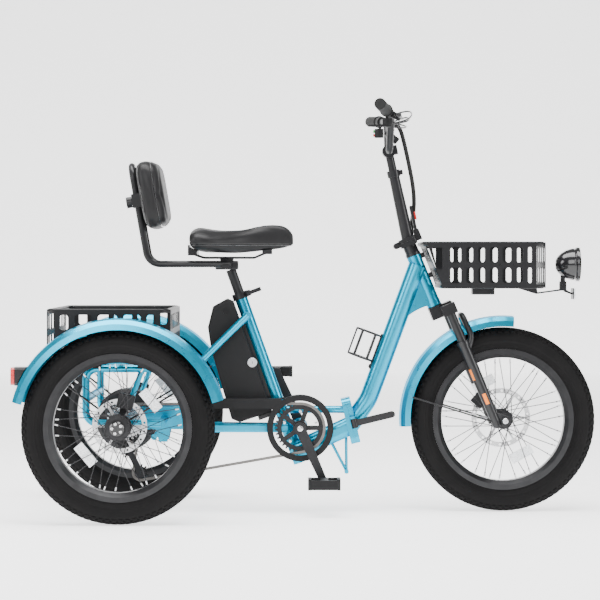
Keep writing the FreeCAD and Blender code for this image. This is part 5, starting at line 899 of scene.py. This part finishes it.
class TRIKE_OT_cables(bpy.types.Operator):
    """Wrapped cable bundle from the handlebar to the frame, and the loose strands at its top"""
    bl_idname = "trike.cables"
    bl_label = "Cables"

    def execute(self, context):
        settings = context.scene.trike_cables
        points = bundle_points()
        length, line = spline_length(points)
        cord_curve("cable_bundle_line", points, settings.bundle, "handle_post", "soft_rubber",
                   "cable_bundle")
        self.wrap(line, settings.bundle / 2)
        top = points[0]
        strands = {
            "strand_brake_right": [(0.262, -0.196, 1.196), (0.292, -0.165, 1.206), (0.306, -0.110, 1.196),
                                   (0.288, -0.050, 1.182), tuple(top + Vector((0.004, -0.004, 0.003)))],
            "strand_brake_left": [(0.262, 0.196, 1.196), (0.296, 0.165, 1.210), (0.312, 0.110, 1.200),
                                  (0.292, 0.045, 1.184), tuple(top + Vector((0.004, 0.006, 0.003)))],
            "strand_shift": [(0.232, -0.232, 1.166), (0.268, -0.205, 1.160), (0.290, -0.140, 1.158),
                             (0.276, -0.060, 1.160), tuple(top + Vector((-0.002, -0.006, -0.006)))],
        }
        for name, route in strands.items():
            route = [Vector(p) for p in route]
            total, _ = spline_length(route)
            cord_curve(name, route, settings.strand, "bars", "gloss_plastic")
        return {"FINISHED"}

    def wrap(self, line, radius):
        """Spiral tape round the bundle."""
        points, turn = [], 0.0
        for i in range(len(line) - 1):
            a, b = line[i], line[i + 1]
            way = (b - a).normalized()
            side = way.cross(Vector((0, 1, 0))).normalized()
            other = way.cross(side)
            steps = max(2, int((b - a).length / 0.0022))
            for s in range(steps):
                turn += (b - a).length / steps / 0.011 * 2 * math.pi
                p = a.lerp(b, s / steps)
                points.append(p + (side * math.cos(turn) + other * math.sin(turn)) * radius)
        tape = tube_along("bundle_wrap", points[4:-4], 0.0011, False, "black_plastic", "handle_post")
        tape.data.name = "bundle_wrap"


# ------------------------------------------------------------ lamp, bolts and small parts
class TRIKE_OT_headlight(bpy.types.Operator):
    """Round headlight: shell, bright bowl, diode block and clear cover"""
    bl_idname = "trike.headlight"
    bl_label = "Headlight"

    def execute(self, context):
        low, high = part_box("headlight")
        face = high.x
        middle = Vector((face, 0, high.z - 0.052))
        shell = [(0.0520, -0.0010), (0.0520, -0.0085), (0.0505, -0.0110), (0.0480, -0.0135), (0.0478, -0.0160),
                 (0.0492, -0.0180), (0.0480, -0.0260), (0.0425, -0.0420), (0.0340, -0.0560), (0.0240, -0.0660),
                 (0.0140, -0.0715), (0.0000, -0.0735), (0.0000, -0.0700), (0.0300, -0.0560), (0.0440, -0.0300),
                 (0.0480, -0.0090), (0.0480, -0.0020), (0.0500, 0.0000)]
        bowl = [(0.0479, -0.0060), (0.0430, -0.0180), (0.0340, -0.0280), (0.0220, -0.0350), (0.0100, -0.0380),
                (0.0000, -0.0385), (0.0000, -0.0400), (0.0120, -0.0395), (0.0240, -0.0365), (0.0360, -0.0295),
                (0.0450, -0.0185), (0.0479, -0.0070)]
        cover = [(0.0479, -0.0040), (0.0400, -0.0022), (0.0250, -0.0010), (0.0, -0.0006), (0.0, -0.0026),
                 (0.0250, -0.0030), (0.0400, -0.0042), (0.0479, -0.0058)]
        pieces = []
        for name, profile, material in (("headlight_shell", shell, "gloss_plastic"),
                                        ("headlight_bowl", bowl, "lamp_mirror"),
                                        ("headlight_cover", cover, "clear_cover")):
            piece = turned(name, profile, middle, (1, 0, 0), 72)
            smooth(piece, 40)
            pieces.append(dress(piece, material, "headlight", slot_of("headlight")))
        fins = start("cube", "headlight_diodes", size=1.0, scale=(0.016, 0.030, 0.006))
        edit(fins)
        bpy.ops.mesh.select_all(action="SELECT")
        bpy.ops.mesh.bevel(offset=0.0012, segments=2)
        bpy.ops.mesh.select_all(action="SELECT")
        bpy.ops.transform.translate(value=tuple(middle + Vector((-0.028, 0, 0))))
        done(fins)
        dress(fins, "lamp_diode", "headlight")
        stem = start("cylinder", "headlight_foot", vertices=32, radius=0.0085, depth=0.034)
        edit(stem)
        pick_faces(stem, lambda p, n: abs(n.z) > 0.9)
        bpy.ops.mesh.inset(thickness=0.0015, depth=-0.0012)
        done(stem)
        stem.data.transform(Matrix.Translation(LAMP_PIVOT + Vector((0, 0, 0.014))))
        tongue = start("cube", "headlight_tongue", size=1.0, scale=(0.014, 0.0118, 0.026))
        edit(tongue)
        bpy.ops.mesh.select_all(action="SELECT")
        bpy.ops.mesh.bevel(offset=0.002, segments=2)
        done(tongue)
        tongue.data.transform(Matrix.Translation(LAMP_PIVOT + Vector((0, 0, 0.002))))
        foot = join("headlight_foot", [stem, tongue])
        smooth(foot, 35)
        dress(foot, "black_metal", "headlight")
        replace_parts(pieces[0], "headlight")
        return {"FINISHED"}


def bolt_master(name, radius, height, socket):
    """Round-headed bolt with a socket, standing on the origin."""
    bolt = start("cylinder", name, vertices=24, radius=radius, depth=height)
    edit(bolt)
    pick_faces(bolt, lambda p, n: n.z > 0.9)
    bpy.ops.mesh.inset(thickness=radius * 0.18, depth=0.0)
    bpy.ops.transform.translate(value=(0, 0, height * 0.22))
    bpy.ops.mesh.inset(thickness=radius * (0.80 - socket), depth=0.0)
    bpy.ops.mesh.inset(thickness=0.0001, depth=0.0)
    bpy.ops.transform.translate(value=(0, 0, -height * 0.55))
    done(bolt)
    bolt.data.transform(Matrix.Translation((0, 0, height / 2)))
    return bolt


def ring_of(centre, radius, count, start_angle, y):
    return [(centre.x + radius * math.cos(a), y, centre.z + radius * math.sin(a))
            for a in (start_angle + 2 * math.pi * i / count for i in range(count))]


class TRIKE_OT_bolts(bpy.types.Operator):
    """Bolt heads on the cranks, axles, hubs and discs"""
    bl_idname = "trike.bolts"
    bl_label = "Bolts"

    def execute(self, context):
        right, left = (0, -1, 0), (0, 1, 0)
        groups = [
            ("crank_bolts", "crank", 0.0075, 0.003, 0.42,
             [(BOTTOM_BRACKET + Vector((0, -0.0988, 0)), right), (BOTTOM_BRACKET + Vector((0, 0.0988, 0)), left)]),
            ("ring_bolts", "crank", 0.0045, 0.002, 0.45,
             [(p, right) for p in ring_of(BOTTOM_BRACKET, 0.0500, 5, 0.3, -0.0632)]),
            ("front_axle_nuts", "fork_slider", 0.0085, 0.006, 0.30,
             [(FRONT_AXLE + Vector((0, -0.0908, 0)), right), (FRONT_AXLE + Vector((0, 0.0908, 0)), left)]),
            ("front_disc_bolts", "front_wheel", 0.0038, 0.0022, 0.45,
             [(p, left) for p in ring_of(FRONT_AXLE, 0.022, 6, 0.2, 0.0600)]),
            ("hub_bolts_right", "rear_wheel_right", 0.0040, 0.0024, 0.45,
             [(p, right) for p in ring_of(REAR_AXLE, 0.0140, 5, 0.6, -0.3998)]),
            ("hub_bolts_left", "rear_wheel_left", 0.0040, 0.0024, 0.45,
             [(p, left) for p in ring_of(REAR_AXLE, 0.0140, 5, 0.6, 0.3998)]),
        ]
        for name, body, radius, height, socket, places in groups:
            master = bolt_master(name, radius, height, socket)
            bolts = [copied(master, facing(p, d)) for p, d in places]
            bpy.data.objects.remove(master)
            smooth(join(name, bolts), 35)
            dress(bpy.data.objects[name], "bright_steel", body)
        return {"FINISHED"}


class TRIKE_OT_battery_lock(bpy.types.Operator):
    """Key lock with its key slot on the battery's right side"""
    bl_idname = "trike.battery_lock"
    bl_label = "Battery lock"

    def execute(self, context):
        low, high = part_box("battery")
        base = Vector((-0.176, low.y, 0.452))
        lock = turned("battery_lock", [(0.0, 0.0030), (0.0065, 0.0030), (0.0072, 0.0024), (0.0080, 0.0024),
                                       (0.0088, 0.0034), (0.0130, 0.0034), (0.0142, 0.0024), (0.0146, 0.0),
                                       (0.0146, -0.002), (0.0, -0.002)],
                      base, (0, -1, 0), 40)
        smooth(lock, 35)
        dress(lock, "cast_alloy", "battery")
        key = start("cube", "battery_key_slot", size=1.0, scale=(0.0018, 0.0012, 0.0075))
        edit(key)
        bpy.ops.mesh.select_all(action="SELECT")
        bpy.ops.mesh.bevel(offset=0.0003, segments=1)
        bpy.ops.mesh.select_all(action="SELECT")
        bpy.ops.transform.translate(value=tuple(base + Vector((0, -0.0032, 0))))
        done(key)
        dress(key, "gloss_plastic", "battery")
        return {"FINISHED"}


# ------------------------------------------------------------ stage
class TRIKE_OT_stage(bpy.types.Operator):
    """Pale floor, soft lights and the camera"""
    bl_idname = "trike.stage"
    bl_label = "Stage"

    def execute(self, context):
        floor = start("plane", "floor", size=16.0)
        edit(floor)
        mesh = bmesh.from_edit_mesh(floor.data)
        for edge in mesh.edges:
            edge.select = all(v.co.y > 7.9 for v in edge.verts)
        bmesh.update_edit_mesh(floor.data)
        bpy.ops.mesh.select_mode(type="EDGE")
        bpy.ops.mesh.extrude_region_move(TRANSFORM_OT_translate={"value": (0, 0, 6)})
        done(floor)
        floor.data.transform(Matrix.Translation((0, 0, -0.0006)))
        floor.data.materials.append(floor_finish())
        world = bpy.data.worlds.new("studio")
        world.use_nodes = True
        world.node_tree.nodes["Background"].inputs["Color"].default_value = (1.0, 1.0, 1.0, 1.0)
        world.node_tree.nodes["Background"].inputs["Strength"].default_value = 0.30
        context.scene.world = world
        for name, place, size, power in (
                ("top_light", (-0.3, -0.6, 4.0), (4.5, 2.2), 420.0),
                ("front_light", (-1.6, -5.0, 2.6), (2.6, 2.6), 150.0),
                ("nose_light", (4.2, -2.2, 1.8), (1.4, 2.6), 120.0),
                ("tail_light", (-4.4, -1.6, 1.9), (1.4, 2.6), 110.0)):
            light = bpy.data.lights.new(name, "AREA")
            light.shape = "RECTANGLE"
            light.size, light.size_y = size
            light.energy = power
            obj = bpy.data.objects.new(name, light)
            obj.location = place
            obj.rotation_mode = "QUATERNION"
            obj.rotation_quaternion = (Vector((0, 0, 0.6)) - Vector(place)).to_track_quat("-Z", "Y")
            context.scene.collection.objects.link(obj)
        camera = bpy.data.cameras.new("camera")
        camera.sensor_width = 36.0
        camera.lens = 124.6
        camera.shift_x = 0.0117
        camera.shift_y = -0.0593
        obj = bpy.data.objects.new("camera", camera)
        obj.location = (-0.0527, -6.324, 0.7488)
        obj.rotation_euler = (math.pi / 2, 0, 0)
        context.scene.collection.objects.link(obj)
        context.scene.camera = obj
        return {"FINISHED"}


STEPS = [TRIKE_OT_finishes, TRIKE_OT_stage, TRIKE_OT_cables, TRIKE_OT_tyres, TRIKE_OT_saddle, TRIKE_OT_backrest,
         TRIKE_OT_headlight, TRIKE_OT_bolts, TRIKE_OT_battery_lock]


class TRIKE_PT_panel(bpy.types.Panel):
    """Lists the pieces that this file builds"""
    bl_idname = "TRIKE_PT_panel"
    bl_label = "Tricycle"
    bl_space_type = "VIEW_3D"
    bl_region_type = "UI"
    bl_category = "Tricycle"

    def draw(self, context):
        for step in STEPS:
            self.layout.operator(step.bl_idname)


GROUPS = {"trike_colours": TRIKE_PG_colours, "trike_tyres": TRIKE_PG_tyres, "trike_seat": TRIKE_PG_seat,
          "trike_cables": TRIKE_PG_cables}


def register():
    for name, group in GROUPS.items():
        bpy.utils.register_class(group)
        setattr(bpy.types.Scene, name, PointerProperty(type=group))
    for item in STEPS + [TRIKE_PT_panel]:
        bpy.utils.register_class(item)


def unregister():
    for item in reversed(STEPS + [TRIKE_PT_panel]):
        bpy.utils.unregister_class(item)
    for name, group in GROUPS.items():
        delattr(bpy.types.Scene, name)
        bpy.utils.unregister_class(group)


def main():
    register()
    for step in STEPS:
        family, name = step.bl_idname.split(".")
        getattr(getattr(bpy.ops, family), name)()


if __name__ == "__main__":
    main()
